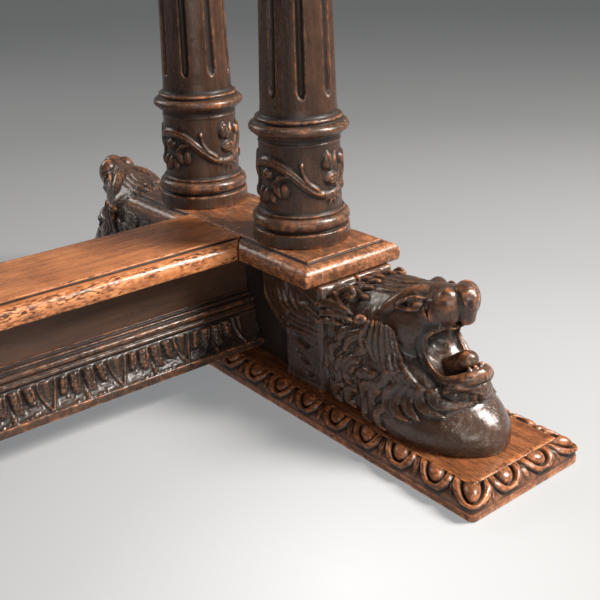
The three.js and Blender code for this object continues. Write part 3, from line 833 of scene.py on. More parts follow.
def leaf_carving():
    """One repeat of the stretcher's carved band: a lobed leaf spreading to the bottom."""
    tall = 31.0
    centre = LEAF_PITCH / 2
    leaf = Relief(LEAF_PITCH, tall, 0.4)
    rough = sloppiness(leaf.u, leaf.v, 77, 0.5, 5.0) + sloppiness(leaf.u, leaf.v, 78, 0.35, 2.6)
    for lobe, low, width in ((-20, 0.5, 4.6), (-8, 0.42, 6.2), (6, 0.36, 6.4), (18.5, 0.48, 5.2)):
        path = [
            (centre + lobe * 0.94, tall - 1), (centre + lobe, tall * 0.76),
            (centre + lobe * 1.08, tall * low),
        ]
        leaf.tube(path, (width * 0.85, width, width * 0.7), 4.2, 40)
        leaf.tube([(u + width * 0.3, v) for u, v in path], (0.9, 1.3, 0.7), 1.8, 40, cut=True)
        leaf.tube([(u - width * 1.05, v) for u, v in path], (1.0, 1.7, 0.9), 2.4, 40, cut=True)
    # A vein down the middle with a raised tip, and creases fanning out from it.
    leaf.tube([(centre, tall * 0.4), (centre, 0)], (1.4, 2.8), 2.2, 30)
    for lobe in (-25, -15, -7, 7, 15, 25):
        crease = [
            (centre + lobe * 0.7, tall * 0.42), (centre + lobe, tall * 0.2),
            (centre + lobe * 1.16, 1.0),
        ]
        leaf.tube(crease, (1.0, 1.9, 0.8), 1.4, 30, cut=True)
    leaf.map = leaf.map + rough
    # The ribs between leaves run together at the bottom.
    for way in (-1, 1):
        rib = [
            (centre + way * 27, tall), (centre + way * 27.8, tall * 0.72),
            (centre + way * 30.6, tall * 0.4), (centre + way * 35.4, 0),
        ]
        leaf.tube(rib, (1.3, 1.5, 1.7), 2.4, 80)
        inside = [(u - way * 2.4, v) for u, v in rib]
        leaf.tube(inside, (0.8, 1.1, 0.8), 1.4, 70, cut=True)
    leaf.tube([(0, tall), (0, tall * 0.55), (0, tall * 0.3)], (4.2, 2.6, 0.8), 1.6, 40)
    return leaf


def build_stretcher_mouldings():
    """Fillets, reeds, the carved hollow band and the square fillet, along both sides."""
    bottom = float(base_low[2])
    face = abs(float(base_high[1]))
    band_top, band_bottom = 65.2, 39.0
    profile = (
        [(0, 86.6), (1.6, 86.6), (2.0, 86.4), (2.0, 84.6), (2.6, 84.2), (5.6, 83.4)]
        + [(6.2, 82.8), (6.2, 80.8), (6.8, 80.2)]
        + arc_points(8.2, 77.2, 3.4, 3.1, 80, -60, 9)
        + [(9.2, 74.2), (10.2, 73.9), (11.6, 73.4), (12.2, 72.8)]
        + arc_points(10.0, 70.0, 2.9, 2.5, 60, -70, 8)
        + [(10.4, 66.6), (11.6, 66.0), (12.2, band_top), (12.4, 62), (12.8, 58), (13.4, 54.5)]
        + [(14.6, 50.5), (16.4, 46.5), (19.0, 43.0), (22.0, 40.4), (24.2, band_bottom)]
        + [(25.1, 38.6), (25.5, 38.0), (25.5, bottom + 0.5), (25.0, bottom), (2, bottom)]
    )
    points, arc, normal = profile_points(profile, 0.9)
    start, end = (arc[np.argmin(np.abs(points[:, 1] - z))] for z in (band_top, band_bottom))
    length = float(base_high[0])
    along = np.linspace(-length, length, 1180)
    leaf = leaf_carving()
    last_rib = END_X - 50.6
    carved = np.abs(along) <= last_rib
    rows = []
    for (out, z), down, (n_out, n_z) in zip(points, arc, normal):
        height = sloppiness(along, down, 31, 0.14, 30)
        if start < down < end:
            up = leaf.height * (end - down) / (end - start)
            edge = min(1.0, (down - start) / 0.8, (end - down) / 0.8)
            height = height + leaf.sample(along - last_rib, up) * edge * carved
        rows.append(line(along, -(face + out + height * n_out), z + height * n_z))
    rows += [line(along, -face, rows[index][:, 2]) for index in (-1, 0)]
    skin, faces = swept_skin(rows)
    # The square fillet along the bottom is rubbed lighter.
    wear_and_shade = relief_wear_and_shade(skin, faces) + 0.25 * np.clip((39.2 - skin[:, 2]) / 0.8, 0, 1)
    placings = {"stretcher_moulding_front": HERE, "stretcher_moulding_back": HALF_TURN}
    add_piece(placings, skin, faces, "base", "carved_oak", wear_and_shade)


# ---------------------------------------------------------------- bed mouldings and beads
def bed_carving(along, half, down):
    """Eggs along a bed moulding, one on each mitre."""
    from_egg, spacing = nearest_egg(along, half, round(2 * half / BED_EGG_PITCH))
    fade = np.clip((27.0 - down) / 2.0, 0, 1) * np.clip((down - 3.0) / 1.5, 0, 1)
    return egg_and_dart(from_egg * 0.82, spacing * 0.82, (down - 5) * 0.74) * fade


def strip(name, side, profile, step, carve, material, seed):
    """A mitred strip along one side of the frieze box; profile runs down its face."""
    low, high = box_mm(name)
    along, outwards = (0, 1) if side in ("front", "back") else (1, 0)
    depth = high[outwards] - low[outwards]
    half = (high[along] - low[along]) / 2 - depth
    face = max(abs(low[outwards]), abs(high[outwards])) - depth
    share = np.linspace(-1, 1, int(2 * half / (step * 1.25)))
    points, arc, normal = profile_points(profile, step)
    rows = []
    for (out, z), down, (n_out, n_z) in zip(points, arc, normal):
        height = sloppiness(share * half, down, seed, 0.12, 30)
        if carve is not None:
            height = height + carve(share * half, half, down)
        reach = np.minimum(out + height * n_out, depth)
        rows.append(line(share * (half + reach), -(face + reach), z + height * n_z))
    rows += [line(share * half, -face, points[index, 1]) for index in (-1, 0)]
    turn = ("front", "right", "back", "left").index(side) * math.pi / 2
    skin, faces = swept_skin(spin(np.array(rows), turn))
    add_piece({name: HERE}, skin, faces, material, "moulded_oak")


def build_frieze_trim():
    low, high = (float(corner[2]) for corner in box_mm("bed_moulding_front"))
    bed = (
        [(1, high), (23.5, high), (24, high - 0.5), (24, high - 3.4), (22.6, high - 3.8)]
        + arc_points(5.4, high - 4, 17, low - high + 8, 4, 88, 16)
        + [(5.6, low + 3.6), (5.4, low + 0.5), (4.9, low), (1, low)]
    )
    low, high = (float(corner[2]) for corner in box_mm("apron_bead_front"))
    middle = (low + high) / 2
    bead = (
        [(0.6, high - 0.2)]
        + arc_points(2.2, middle, 4.8, high - middle - 0.2, 88, -88, 14)
        + [(0.6, low + 0.2)]
    )
    for number, side in enumerate(("front", "right", "back", "left")):
        material = "frieze_x" if side in ("front", "back") else "frieze_y"
        strip(f"bed_moulding_{side}", side, bed, 1.5, bed_carving, material, 40 + number)
        strip(f"apron_bead_{side}", side, bead, 2.0, None, material, 50 + number)


# ---------------------------------------------------------------- the lions
class Clay:
    """Distances to a shape's surface on a grid over one half of it, which is mirrored later.

    The axes are across, forwards and up, in millimetres. Inside is negative.
    """

    def __init__(self, low, high, step):
        self.low, self.step = np.array(low, float), step
        count = np.ceil((np.array(high) - self.low) / step).astype(int) + 1
        self.d = np.full(count, 30.0, np.float32)

    def window(self, low, high):
        first = np.floor((np.array(low) - self.low) / self.step).astype(int)
        last = np.ceil((np.array(high) - self.low) / self.step).astype(int) + 1
        first = np.clip(first, 0, self.d.shape)
        last = np.clip(last, 0, self.d.shape)
        axes = [
            (self.low[i] + np.arange(first[i], last[i]) * self.step).astype(np.float32)
            for i in range(3)
        ]
        where = tuple(slice(a, b) for a, b in zip(first, last))
        return where, np.meshgrid(*axes, indexing="ij", sparse=True)

    def measure(self, shape, blend):
        """Where a (distance function, low, high) shape matters, and its distances there."""
        distance, low, high = shape
        margin = 6 + blend
        where, place = self.window(np.array(low) - margin, np.array(high) + margin)
        return where, distance(*place)

    def add(self, shape, blend=0.0):
        """Join a shape with a soft seam."""
        where, new = self.measure(shape, blend)
        self.d[where] = soft_min(self.d[where], new, blend)

    def cut(self, shape, blend=0.0):
        """Cut a shape away with a soft seam."""
        where, new = self.measure(shape, blend)
        self.d[where] = -soft_min(-self.d[where], new, blend)

    def ridge(self, points, radii, blend=0.0, count=12):
        """A round ridge along a smooth curve in space."""
        for part in rods(smooth_curve(points, count), spread(radii, count)):
            self.add(part, blend)

    def groove(self, points, radii, blend=0.0, count=12):
        """A round groove along a smooth curve in space."""
        for part in rods(smooth_curve(points, count), spread(radii, count)):
            self.cut(part, blend)

    def furrow(self, pattern, low, high, depth):
        """Sink grooves into the flank, where a pattern of (forwards, up) nears 1."""
        where, (x, y, z) = self.window(low, high)
        sides = (x - low[0], y - low[1], high[1] - y, z - low[2], high[2] - z)
        fade = depth * pattern(y, z)
        for inset in sides:
            fade = fade * np.clip(inset / 8, 0, 1)
        self.d[where] += fade

    def chisel(self, depth):
        """Slight unevenness everywhere, as a chisel leaves it."""
        where, (x, y, z) = self.window(self.low, self.low + 1e3)
        waves = np.sin(x / 4.1 + y / 6.3) + np.sin(y / 4.7 - z / 3.9) + np.sin(z / 4.5 + x / 5.9)
        self.d[where] += depth / 3 * waves

    def height_at(self, across, forward):
        """How high the top of the surface is, over a point of the across-forwards plane."""
        i = int(round((abs(across) - self.low[0]) / self.step))
        j = int(round((forward - self.low[1]) / self.step))
        return self.low[2] + np.nonzero(self.d[i, j] < 0)[0][-1] * self.step

    def flank(self):
        """How far across the outermost surface is, over the forwards-up plane."""
        inside = self.d < 0
        count = self.d.shape[0]
        last = count - 1 - np.argmax(inside[::-1], axis=0)
        found = inside.any(axis=0)
        last = np.clip(last, 0, count - 2)
        j, k = np.indices(last.shape)
        a, b = self.d[last, j, k], self.d[last + 1, j, k]
        across = self.low[0] + (last + a / np.minimum(a - b, -1e-4)) * self.step
        return np.where(found, across, np.nan)


def soft_min(a, b, blend):
    if blend <= 0:
        return np.minimum(a, b)
    mix = np.clip(0.5 + 0.5 * (a - b) / blend, 0, 1)
    return a + (b - a) * mix - blend * mix * (1 - mix)


def ball(centre, radii, tilt=0.0):
    """An ellipsoid; tilt lifts its forward end, in degrees."""
    c, s = math.cos(math.radians(tilt)), math.sin(math.radians(tilt))
    cx, cy, cz = centre
    rx, ry, rz = radii

    def distance(x, y, z):
        along = (y - cy) * c + (z - cz) * s
        up = (z - cz) * c - (y - cy) * s
        near = np.sqrt(((x - cx) / rx) ** 2 + (along / ry) ** 2 + (up / rz) ** 2)
        slope = np.sqrt(((x - cx) / rx**2) ** 2 + (along / ry**2) ** 2 + (up / rz**2) ** 2)
        return near * (near - 1) / np.maximum(slope, 1e-4)

    longest = max(ry, rz)
    reach = np.array([rx, longest, longest] if tilt else radii)
    return distance, np.array(centre) - reach, np.array(centre) + reach


def rod(a, b, ra, rb):
    """A round rod whose radius changes from one end to the other."""
    a, b = np.array(a, float), np.array(b, float)
    axis = b - a
    length = max(float(axis @ axis), 1e-6)

    def distance(x, y, z):
        t = ((x - a[0]) * axis[0] + (y - a[1]) * axis[1] + (z - a[2]) * axis[2]) / length
        t = np.clip(t, 0, 1)
        dx, dy, dz = (p - (a[i] + axis[i] * t) for i, p in enumerate((x, y, z)))
        return np.sqrt(dx**2 + dy**2 + dz**2) - (ra + (rb - ra) * t)

    reach = max(ra, rb)
    return distance, np.minimum(a, b) - reach, np.maximum(a, b) + reach


def brick(low, high, rounding=1.0):
    """A box with rounded edges."""
    low, high = np.array(low, float), np.array(high, float)
    centre, half = (low + high) / 2, (high - low) / 2 - rounding

    def distance(x, y, z):
        q = [np.abs(p - centre[i]) - half[i] for i, p in enumerate((x, y, z))]
        outside = np.sqrt(sum(np.maximum(part, 0) ** 2 for part in q))
        inside = np.minimum(np.maximum(np.maximum(q[0], q[1]), q[2]), 0)
        return outside + inside - rounding

    return distance, low, high


def drum(centre, radii, across, rounding=1.5):
    """An elliptical cylinder along the across axis, between two distances from the middle."""
    cy, cz = centre
    ry, rz = radii
    low, high = across

    def distance(x, y, z):
        near = np.sqrt(((y - cy) / ry) ** 2 + ((z - cz) / rz) ** 2)
        slope = np.sqrt(((y - cy) / ry**2) ** 2 + ((z - cz) / rz**2) ** 2)
        side = near * (near - 1) / np.maximum(slope, 1e-4)
        cap = np.maximum(low - x, x - high)
        a, b = side + rounding, cap + rounding
        return (
            np.sqrt(np.maximum(a, 0) ** 2 + np.maximum(b, 0) ** 2)
            + np.minimum(np.maximum(a, b), 0) - rounding
        )

    return distance, (low, cy - ry, cz - rz), (high, cy + ry, cz + rz)


def rods(path, sizes):
    """Rods end to end along a path."""
    return [rod(*ends) for ends in zip(path[:-1], path[1:], sizes[:-1], sizes[1:])]


class Hair:
    """Locks laid over a lion's flank, each a bundle of strands that meet at a tip."""

    def __init__(self, clay):
        self.clay = clay
        self.across = clay.flank()

    def at(self, forward, up):
        """The flank's place across, at a point of the forwards-up plane."""
        place = [(forward, self.clay.low[1]), (up, self.clay.low[2])]
        j, k = (int(round((value - low) / self.clay.step)) for value, low in place)
        j = min(max(j, 0), self.across.shape[0] - 1)
        k = min(max(k, 0), self.across.shape[1] - 1)
        return self.across[j, k]

    def strand(self, path, radii, lift):
        placed = [(self.at(*point), *point) for point in path]
        placed = np.array([point for point in placed if np.isfinite(point[0])])
        if len(placed) < 3:
            return
        for _ in range(3):
            placed[1:-1, 0] = (placed[:-2, 0] + placed[1:-1, 0] * 2 + placed[2:, 0]) / 4
        sizes = spread(radii, len(placed))
        placed[:, 0] += lift - sizes * 0.35
        for part in rods(placed, sizes):
            self.clay.add(part, 0.4)

    def lock(self, spine, width, strands=3, radius=2.9, lift=0.8, tip=0.8):
        """A lock along a spine, widest near its root."""
        path = smooth_curve(spine, 18)
        tangent = np.gradient(path, axis=0)
        tangent /= np.linalg.norm(tangent, axis=1, keepdims=True)
        side = np.stack([-tangent[:, 1], tangent[:, 0]], 1)
        t = np.linspace(0, 1, len(path))
        spread = width * (0.55 + 0.45 * np.sin(np.minimum(t * 2.2, 1) * math.pi / 2))
        spread = spread * (1 - t**2.4)
        for i in range(strands):
            shift = (i - (strands - 1) / 2) / strands
            line = path + side * (spread * shift)[:, None]
            bulge = lift + 0.9 * (1 - abs(shift) * 2)
            self.strand(line, (radius * 0.75, radius, radius * 0.85, tip), bulge)


def lion_masses(clay):
    """The lion's big forms, without hair."""
    top = CAP_TOP - CAP_T - GAP - 0.2
    clay.add(brick((0, 112.6, 22), (45.2, 167, top), 3))
    # The scroll-edged cheeks that lap the core block.
    for forward, up in ((79, 124), (81, 114), (85, 104), (91, 95), (98, 87), (106, 79)):
        clay.add(brick((30.8, forward, up - 8), (45.2, 118, top), 1.5), 3)
    # Shoulders, neck, chest, skull, cheeks and the ears' roots.
    for centre, radii, blend in (
        ((18, 190, 66), (27, 42, 52), 6),
        ((21, 190, 36), (24, 42, 36), 6),
        ((0, 214, 84), (45, 62, 58), 6),
        ((0, 232, 62), (47, 64, 46), 8),
        ((0, 236, 112), (34, 42, 36), 10),
        ((16, 252, 118), (17, 28, 23), 8),
        ((26, 182, 109), (19, 28, 21), 6),
    ):
        clay.add(ball(centre, radii), blend)
    jaw = [(28, 230, 118), (30, 238, 100), (30, 252, 82), (24, 282, 70), (16, 306, 70)]
    for part in rods(jaw, (12, 13, 12, 9.5, 6)):
        clay.add(part, 6)
    # Breast.
    clay.add(ball((0, 262, 30), (51, 84.5, 44)), 4)
    clay.add(ball((0, 284, 60), (33, 34, 22)), 8)
    # Muzzle, from the brow to the nose.
    clay.add(rod((0, 248, 134), (0, 291, 146), 15, 13.0), 8)
    clay.add(ball((12, 278, 135), (13, 20, 14)), 6)


def lion_mouth(clay):
    """The open mouth: a hollow right across with a rolled rim, tongue, teeth and lower lip."""
    add, cut = clay.add, clay.cut
    add(drum((291, 104), (24.8, 24), (0, 22.5), 3), 3)
    add(ball((0, 288, 77), (20, 30, 10)), 5)
    cut(drum((303, 103), (33, 27.5), (25.5, 60), 3), 2.5)
    cut(drum((306, 104), (29.5, 21.5), (-5, 60), 2), 2)
    cut(drum((299, 103), (28, 21), (-21.3, 21.3), 5), 1.5)
    cut(ball((0, 296, 102), (18, 34, 18)), 2)
    cut(brick((14.5, 292, 116), (60, 350, 130), 2), 2)
    rim = [
        (8, 299, 127), (13, 293.5, 126.5), (19, 286.5, 124), (22.4, 276.5, 116.5),
        (23, 271, 106), (23, 270, 98), (22.8, 274.5, 90), (22.2, 283, 84), (21, 292, 81.5),
    ]
    clay.ridge(rim, (0.8, 1.3, 1.5, 1.6, 2.0), 1.2, 26)
    lip = [(22, 288, 80), (19.5, 300, 79.5), (16, 309, 81.5), (9.5, 315.5, 84.5), (0, 318.5, 86.5)]
    clay.ridge(lip, (2.4, 4.8, 6.2, 6.6), 1.5, 18)
    add(rod((0, 272, 72), (0, 288, 82), 7, 8.6), 2)
    add(rod((0, 288, 83), (0, 302, 94), 8.8, 8.6), 2)
    add(ball((0, 305.5, 95.5), (9.4, 8.4, 8.0)), 1.0)
    clay.groove([(0, 276, 95), (0, 294, 99), (0, 306, 104)], (0.8, 1.2, 0.6), 0.8)
    for across, forward, up in ((3.2, 316.2, 93.4), (8.2, 314.0, 92.2)):
        add(ball((across, forward, up), (2.2, 1.8, 2.2)), 1.2)
    clay.groove([(0, 325.6, 92), (0, 325.8, 87), (0, 324, 82)], (0.8, 1.2, 0.8), 0.8)
    # The nose runs down into the upper lip; the whisker pads hang beside them.
    add(ball((0, 297, 150), (12, 11.5, 12)), 3)
    add(rod((0, 301.5, 150), (0, 302, 134), 10.5, 7.2), 2.5)
    add(ball((11.5, 290, 142.5), (12.4, 12.8, 17)), 1.2)
    cut(ball((6.2, 310.5, 147.5), (2.4, 2.6, 3.6), 20), 1.6)
    clay.groove([(0, 313, 145), (0, 311, 138), (0, 309.5, 128)], (0.8, 1.2, 1.0), 0.8)
    crease = [
        (8.5, 296, 161), (11.0, 302, 154), (10.2, 305.5, 146), (8.6, 305, 137), (9.5, 301, 127),
    ]
    clay.groove(crease, (1.0, 1.6, 1.9, 1.7, 1.0), 0.9, 14)
    clay.groove([(20, 278, 154), (22.4, 277.5, 144), (22, 280, 132)], (1.8, 2.2, 1.2), 1.8)
    # Chin, in short upright locks that reach the breast.
    add(ball((0, 306, 70), (13, 12, 13)), 3)
    for across, lean in ((0, 0), (6, 2.5), (11.5, 6.5)):
        path = [
            (across, 317 - lean, 80), (across * 1.08, 321 - lean, 70),
            (across * 0.95, 319 - lean, 61), (across * 0.7, 314 - lean, 56),
        ]
        clay.ridge(path, (2.8, 3.8, 3.2, 1.0), 0.5, 10)


def lion_eyes(clay):
    """Brows, sockets, lidded eyes and the creases round them."""
    clay.cut(ball((27, 264, 143), (8.4, 15, 8.0), 16), 3)
    brow = [(31, 238, 130), (25, 245, 137.5), (18, 252, 143), (12, 259, 146), (8, 266, 147)]
    clay.ridge(brow, (2.6, 4.0, 4.8, 4.4, 3.0), 5, 14)
    clay.add(ball((18.5, 262, 139.5), (8.8, 10.5, 7.2), 14), 0.6)
    upper_lid = [(14, 276, 144), (20, 270, 146.4), (26, 260, 145), (30.5, 250, 137.5)]
    clay.ridge(upper_lid, (1.0, 1.4, 1.5, 1.0), 0.7)
    lower_lid = [(14, 277, 142.5), (21, 271.5, 138.6), (27, 262, 136), (30.5, 250, 134.5)]
    clay.ridge(lower_lid, (1.0, 1.9, 2.2, 1.4), 0.7)
    clay.cut(ball((27.4, 263.5, 141.6), (1.8, 2.8, 2.4)), 0.5)
    for lift in (0, 3.4):
        crease = [
            (14, 272 - lift, 151), (21, 264 - lift, 151.6 + lift * 0.3), (28, 252 - lift, 147),
        ]
        clay.groove(crease, (0.6, 1.0, 0.6), 1.0)


# The ruff's first, middle and last strand, from ear to throat, as (across, forwards, up).
# The others lie between them.
RUFF_GUIDES = [
    [(37, 253, 117), (36, 258, 98), (33, 268, 83), (29, 280, 74), (25, 291, 71)],
    [(43, 245, 124), (44, 246, 106), (43, 249, 88), (41, 259, 74), (38, 271, 66)],
    [(45, 232, 122), (46, 228, 113), (47, 224, 105), (46, 223, 97), (46, 226, 91)],
]
RUFF_STRANDS = 7

# Locks on the flank below and behind the ruff: spine as (forwards, up), width, strands.
LOCKS = [
    ([(172, 80), (175, 66), (171, 52), (176, 42)], 8, 3),
    ([(186, 106), (178, 96), (176, 84), (180, 76)], 9, 3),
    ([(204, 102), (195, 96), (189, 87), (190, 80)], 9, 3),
    ([(219, 104), (210, 98), (203, 90), (201, 81)], 9, 3),
    ([(228, 93), (221, 88), (213, 81)], 8, 3),
    ([(192, 86), (182, 79), (179, 71), (183, 63), (190, 56)], 9, 3),
    ([(199, 72), (191, 62), (191, 51), (198, 43)], 9, 3),
    ([(196, 46), (187, 40), (186, 31), (194, 26)], 9, 3),
    ([(214, 46), (204, 41), (203, 31), (213, 26)], 9, 3),
    ([(232, 45), (226, 37), (230, 28), (241, 26)], 9, 3),
    ([(219, 78), (209, 75), (202, 66), (200, 57), (206, 51), (215, 51)], 8, 3),
    ([(213, 70), (209, 63), (211, 56)], 5, 2),
    ([(240, 72), (230, 70), (222, 66), (217, 60)], 8, 3),
    ([(255, 81), (251, 72), (243, 64), (230, 58), (224, 49), (227, 40), (235, 39)], 9, 3),
    ([(246, 60), (238, 52), (238, 43), (247, 36)], 8, 3),
    ([(256, 47), (248, 40), (250, 31), (260, 28)], 8, 3),
    ([(266, 71), (258, 64), (254, 55), (258, 47), (268, 43)], 9, 3),
    ([(272, 71), (265, 62), (264, 51), (273, 46), (284, 45)], 8, 3),
    ([(277, 70), (274, 59), (280, 52), (292, 48)], 9, 3),
    ([(284, 71), (286, 61), (295, 56), (310, 54)], 9, 3),
    ([(294, 72), (298, 65), (309, 62), (325, 64)], 10, 4),
    ([(303, 74), (311, 78), (319, 76), (325, 70)], 7, 2),
]


def lion_hair(clay):
    """The ruff round the face, the locks below it, and the curls of the mane and crown."""
    def waves(forward, up):
        bend = 6.5 * np.sin(up / 9.0 + forward / 26.0)
        return (0.5 + 0.5 * np.cos((forward + bend) * 2 * math.pi / 5.4)) ** 2

    clay.furrow(waves, (14, 168, 24), (60, 236, 118), 1.5)
    hair = Hair(clay)
    for spine, width, strands in LOCKS:
        hair.lock(spine, width, strands, 3.1, 1.2)
    # Waves between the cap and the ruff, ending at a knob.
    for spine in (
        [(164, 115), (178, 119), (192, 119), (204, 116)],
        [(164, 106), (181, 112), (195, 113), (205, 110)],
        [(164, 98), (181, 103), (196, 105)],
    ):
        hair.lock(spine, 5.5, 2, 2.9, 1.6)
    clay.add(ball((46, 221, 118.5), (4.4, 8.0, 4.6), 14), 1.0)
    lion_ruff(clay, hair)
    # Ear, with ridges, and the curl that leads to it.
    clay.add(ball((30, 193, 127.5), (7.5, 7.5, 6.8)), 1.2)
    for shift in (-3.4, 0.2, 3.8):
        slit = [(34, 192 + shift, 134), (38, 193 + shift, 128), (36, 193 + shift, 121)]
        clay.groove(slit, (0.8, 1.4, 0.8), 0.4, 8)
    for lift in (0, 5.0):
        curl = [(176, 127 - lift), (182, 125 - lift), (188, 122 - lift), (194, 119 - lift)]
        hair.strand(curl, (1.6, 2.8, 2.8, 1.4), 1.6)
    # Short tufts across the crown next to the cap, in two overlapping rows.
    for root, first, count in ((182, 2.0, 5), (195, 5.5, 4)):
        for i in range(count):
            x = first + i * 7.2
            path = []
            for reach, lift in ((-5, -2.2), (2, 0.4), (8, 1.2), (14, 0.8), (18, -1.4)):
                y = root + reach + (i % 2) * 2
                path.append((x + reach * 0.08, y, clay.height_at(x, y) + lift))
            clay.ridge(path, (1.6, 3.2, 3.2, 2.4, 0.7), 0.3, 9)
    # Combed grooves over the forehead, from the tufts to the brows.
    for across in (4, 10, 16, 22):
        path = []
        for forward in (214, 226, 238, 250):
            x = across - (forward - 214) * 0.1 + 1.4 * math.sin(forward / 7)
            path.append((x, forward, clay.height_at(x, forward) + 0.5))
        clay.groove(path, (0.5, 1.1, 0.9, 0.5), 0.6)


def lion_ruff(clay, hair):
    """Strands from ear to throat, none of them deeper than the flank, and thinner ones between."""
    ruff = []
    first, middle, last = (smooth_curve(guide, 26) for guide in RUFF_GUIDES)
    for turn in np.linspace(-1, 1, RUFF_STRANDS):
        path = middle + (first - middle) * max(-turn, 0) + (last - middle) * max(turn, 0)
        for point in path:
            point[0] = max(point[0], np.nan_to_num(hair.at(*point[1:])) + 0.2)
        ruff.append(path)
        clay.ridge(path, (0.6, 2.3, 2.9, 2.8, 2.4, 1.0), 0.3, 26)
    for lower, upper in zip(ruff[:-1], ruff[1:]):
        between = (lower + upper) / 2 - (0.7, 0, 0)
        clay.ridge(between, (0.5, 1.5, 1.7, 1.5, 1.0, 0.5), 0.2, 24)


def lion_panel(clay):
    """The acanthus leaf and low ovals on the flank next to the core block."""
    ground = 44.2

    def ridge(path, radii, lift=0.0):
        clay.ridge([(ground + lift, *point) for point in path], radii, 0.5, 14)

    def hollow(path, radii):
        clay.groove([(ground + 2.2, *point) for point in path], radii, 0.6, 10)

    ridge([(82, 122), (82, 110), (84, 100), (93, 89), (103, 80), (113, 73)], (1.6, 2.4, 2.6, 1.8))
    ridge([(87, 121), (90, 108), (97, 98), (113, 90), (136, 88), (158, 90)], (1.4, 2.2, 2.2, 1.2))
    ridge([(84, 104), (92, 94), (104, 86), (128, 84), (150, 83), (164, 84)], (1.2, 2.4, 2.6, 1.4))
    ridge([(97, 118), (106, 102), (121, 96), (136, 93), (154, 94)], (1.2, 2.2, 2.2, 1.0))
    ridge([(106, 78), (115, 76), (129, 77), (146, 78), (166, 79)], (1.0, 2.2, 2.4, 1.2))
    hollow([(106, 112), (110, 102), (119, 96)], (1.2, 2.6, 1.4))
    hollow([(115, 113), (119, 104), (128, 98)], (1.2, 2.8, 1.4))
    hollow([(125, 114), (128, 106), (137, 99)], (1.2, 2.8, 1.4))
    ridge([(121, 118), (124, 108), (132, 100)], (1.6, 2.6, 1.6), 0.2)
    ridge([(131, 116), (137, 108), (148, 108), (158, 104)], (1.4, 3.0, 3.0, 1.4), 0.4)
    ridge([(112, 120), (130, 122), (148, 118), (160, 114)], (1.2, 2.6, 2.6, 1.4))
    ridge([(140, 101), (150, 101), (159, 98)], (1.2, 2.6, 1.4))
    hollow([(125, 74), (132, 70), (142, 66), (151, 67)], (1.6, 4.0, 3.8, 1.4))
    ridge([(124, 68), (132, 62), (144, 60), (154, 64)], (0.8, 1.7, 1.7, 0.8))
    hollow([(130, 57), (139, 50), (151, 46)], (1.6, 4.2, 1.6))
    hollow([(140, 40), (148, 36), (157, 38)], (1.4, 3.4, 1.4))
    ridge([(130, 51), (138, 57), (150, 54)], (0.8, 1.6, 0.8))
    ridge([(136, 43), (146, 40), (156, 44)], (0.8, 1.6, 0.8))
    # A plain strip along the bottom, and a groove where the mane begins.
    clay.add(brick((40, 112.6, 22), (46.0, 166, 29.0), 0.8), 0.3)
    edge = [(45.6, 165.5, 128), (45.6, 165, 110), (45.6, 165.5, 90), (45.6, 167, 72)]
    clay.groove(edge, (1.6, 1.8, 1.8, 1.2), 0.6)


def lion_shell(step):
    """A whole lion's points and quads, in the end frame's millimetres."""
    clay = Clay((0, 72, 19), (58, 362, 168), step)
    for carve in (lion_masses, lion_mouth, lion_eyes, lion_hair, lion_panel):
        carve(clay)
    clay.chisel(0.32)
    # Cut flat where the lion meets the sole board, the cap board and the core block.
    for low, high in (
        ((-5, 60, 0), (70, 380, SOLE_T + 0.05)),
        ((-5, 60, CAP_TOP - CAP_T - 0.2), (70, 165.5, 190)),
        ((-5, 60, 0), (CORE_HALF_W + 0.4, 112.5, 190)),
    ):
        clay.cut(brick(low, high, 0.1))
    whole = np.concatenate([clay.d[:0:-1], clay.d])
    whole = np.pad(whole, 1, constant_values=5.0)
    grid = openvdb.FloatGrid(30.0)
    grid.copyFromArray(whole)
    points, quads = grid.convertToQuads(0.0)
    origin = np.array([-clay.step * (clay.d.shape[0] - 1), clay.low[1], clay.low[2]]) - step
    points = np.asarray(points, float) * step + origin
    points[:, 1] *= -1
    return points, np.asarray(quads, int)


def build_lions():
    step = 1.1
    points, quads = lion_shell(step)
    volume = np.einsum(
        "ij,ij->i", points[quads[:, 0]], np.cross(points[quads[:, 1]], points[quads[:, 2]])
    ).sum()
    if volume < 0:
        quads = quads[:, ::-1]
    wear_and_shade = relief_wear_and_shade(points, quads, gain=0.8, deep=0.2, rounds=(5, 36))
    # The face is rubbed more than the mane, and the nose most.
    across, forward, up = np.abs(points[:, 0]), -points[:, 1], points[:, 2]
    face = np.clip((forward - 232) / 20, 0, 1) * np.clip((up - 78) / 12, 0, 1)
    face *= np.clip((36 - across) / 6, 0, 1)
    nose = face * np.clip((forward - 276) / 10, 0, 1)
    wear_and_shade = 0.5 + (wear_and_shade - 0.5) * (0.8 + 0.3 * face) + 0.05 * face + 0.04 * nose
    # Painted shade darkens the hollow behind the mouth's rim, as the cheek's shadow.
    side = np.hypot((forward - 303) / 33, (up - 103) / 27.5)
    hollow = np.exp(-(((side - 0.97) / 0.13) ** 2)) * (forward < 298)
    wear_and_shade -= 0.3 * hollow * np.clip((across - 19) / 4, 0, 1)
    stipple = ((forward < 166) & (up < 68) & (across > 44)).astype(float)
    placings = {
        "lion_front_right": RIGHT_END,
        "lion_back_right": RIGHT_END @ HALF_TURN,
        "lion_back_left": LEFT_END,
        "lion_front_left": LEFT_END @ HALF_TURN,
    }
    add_piece(placings, points, quads, "lion", "carved_oak", wear_and_shade, stipple=stipple)


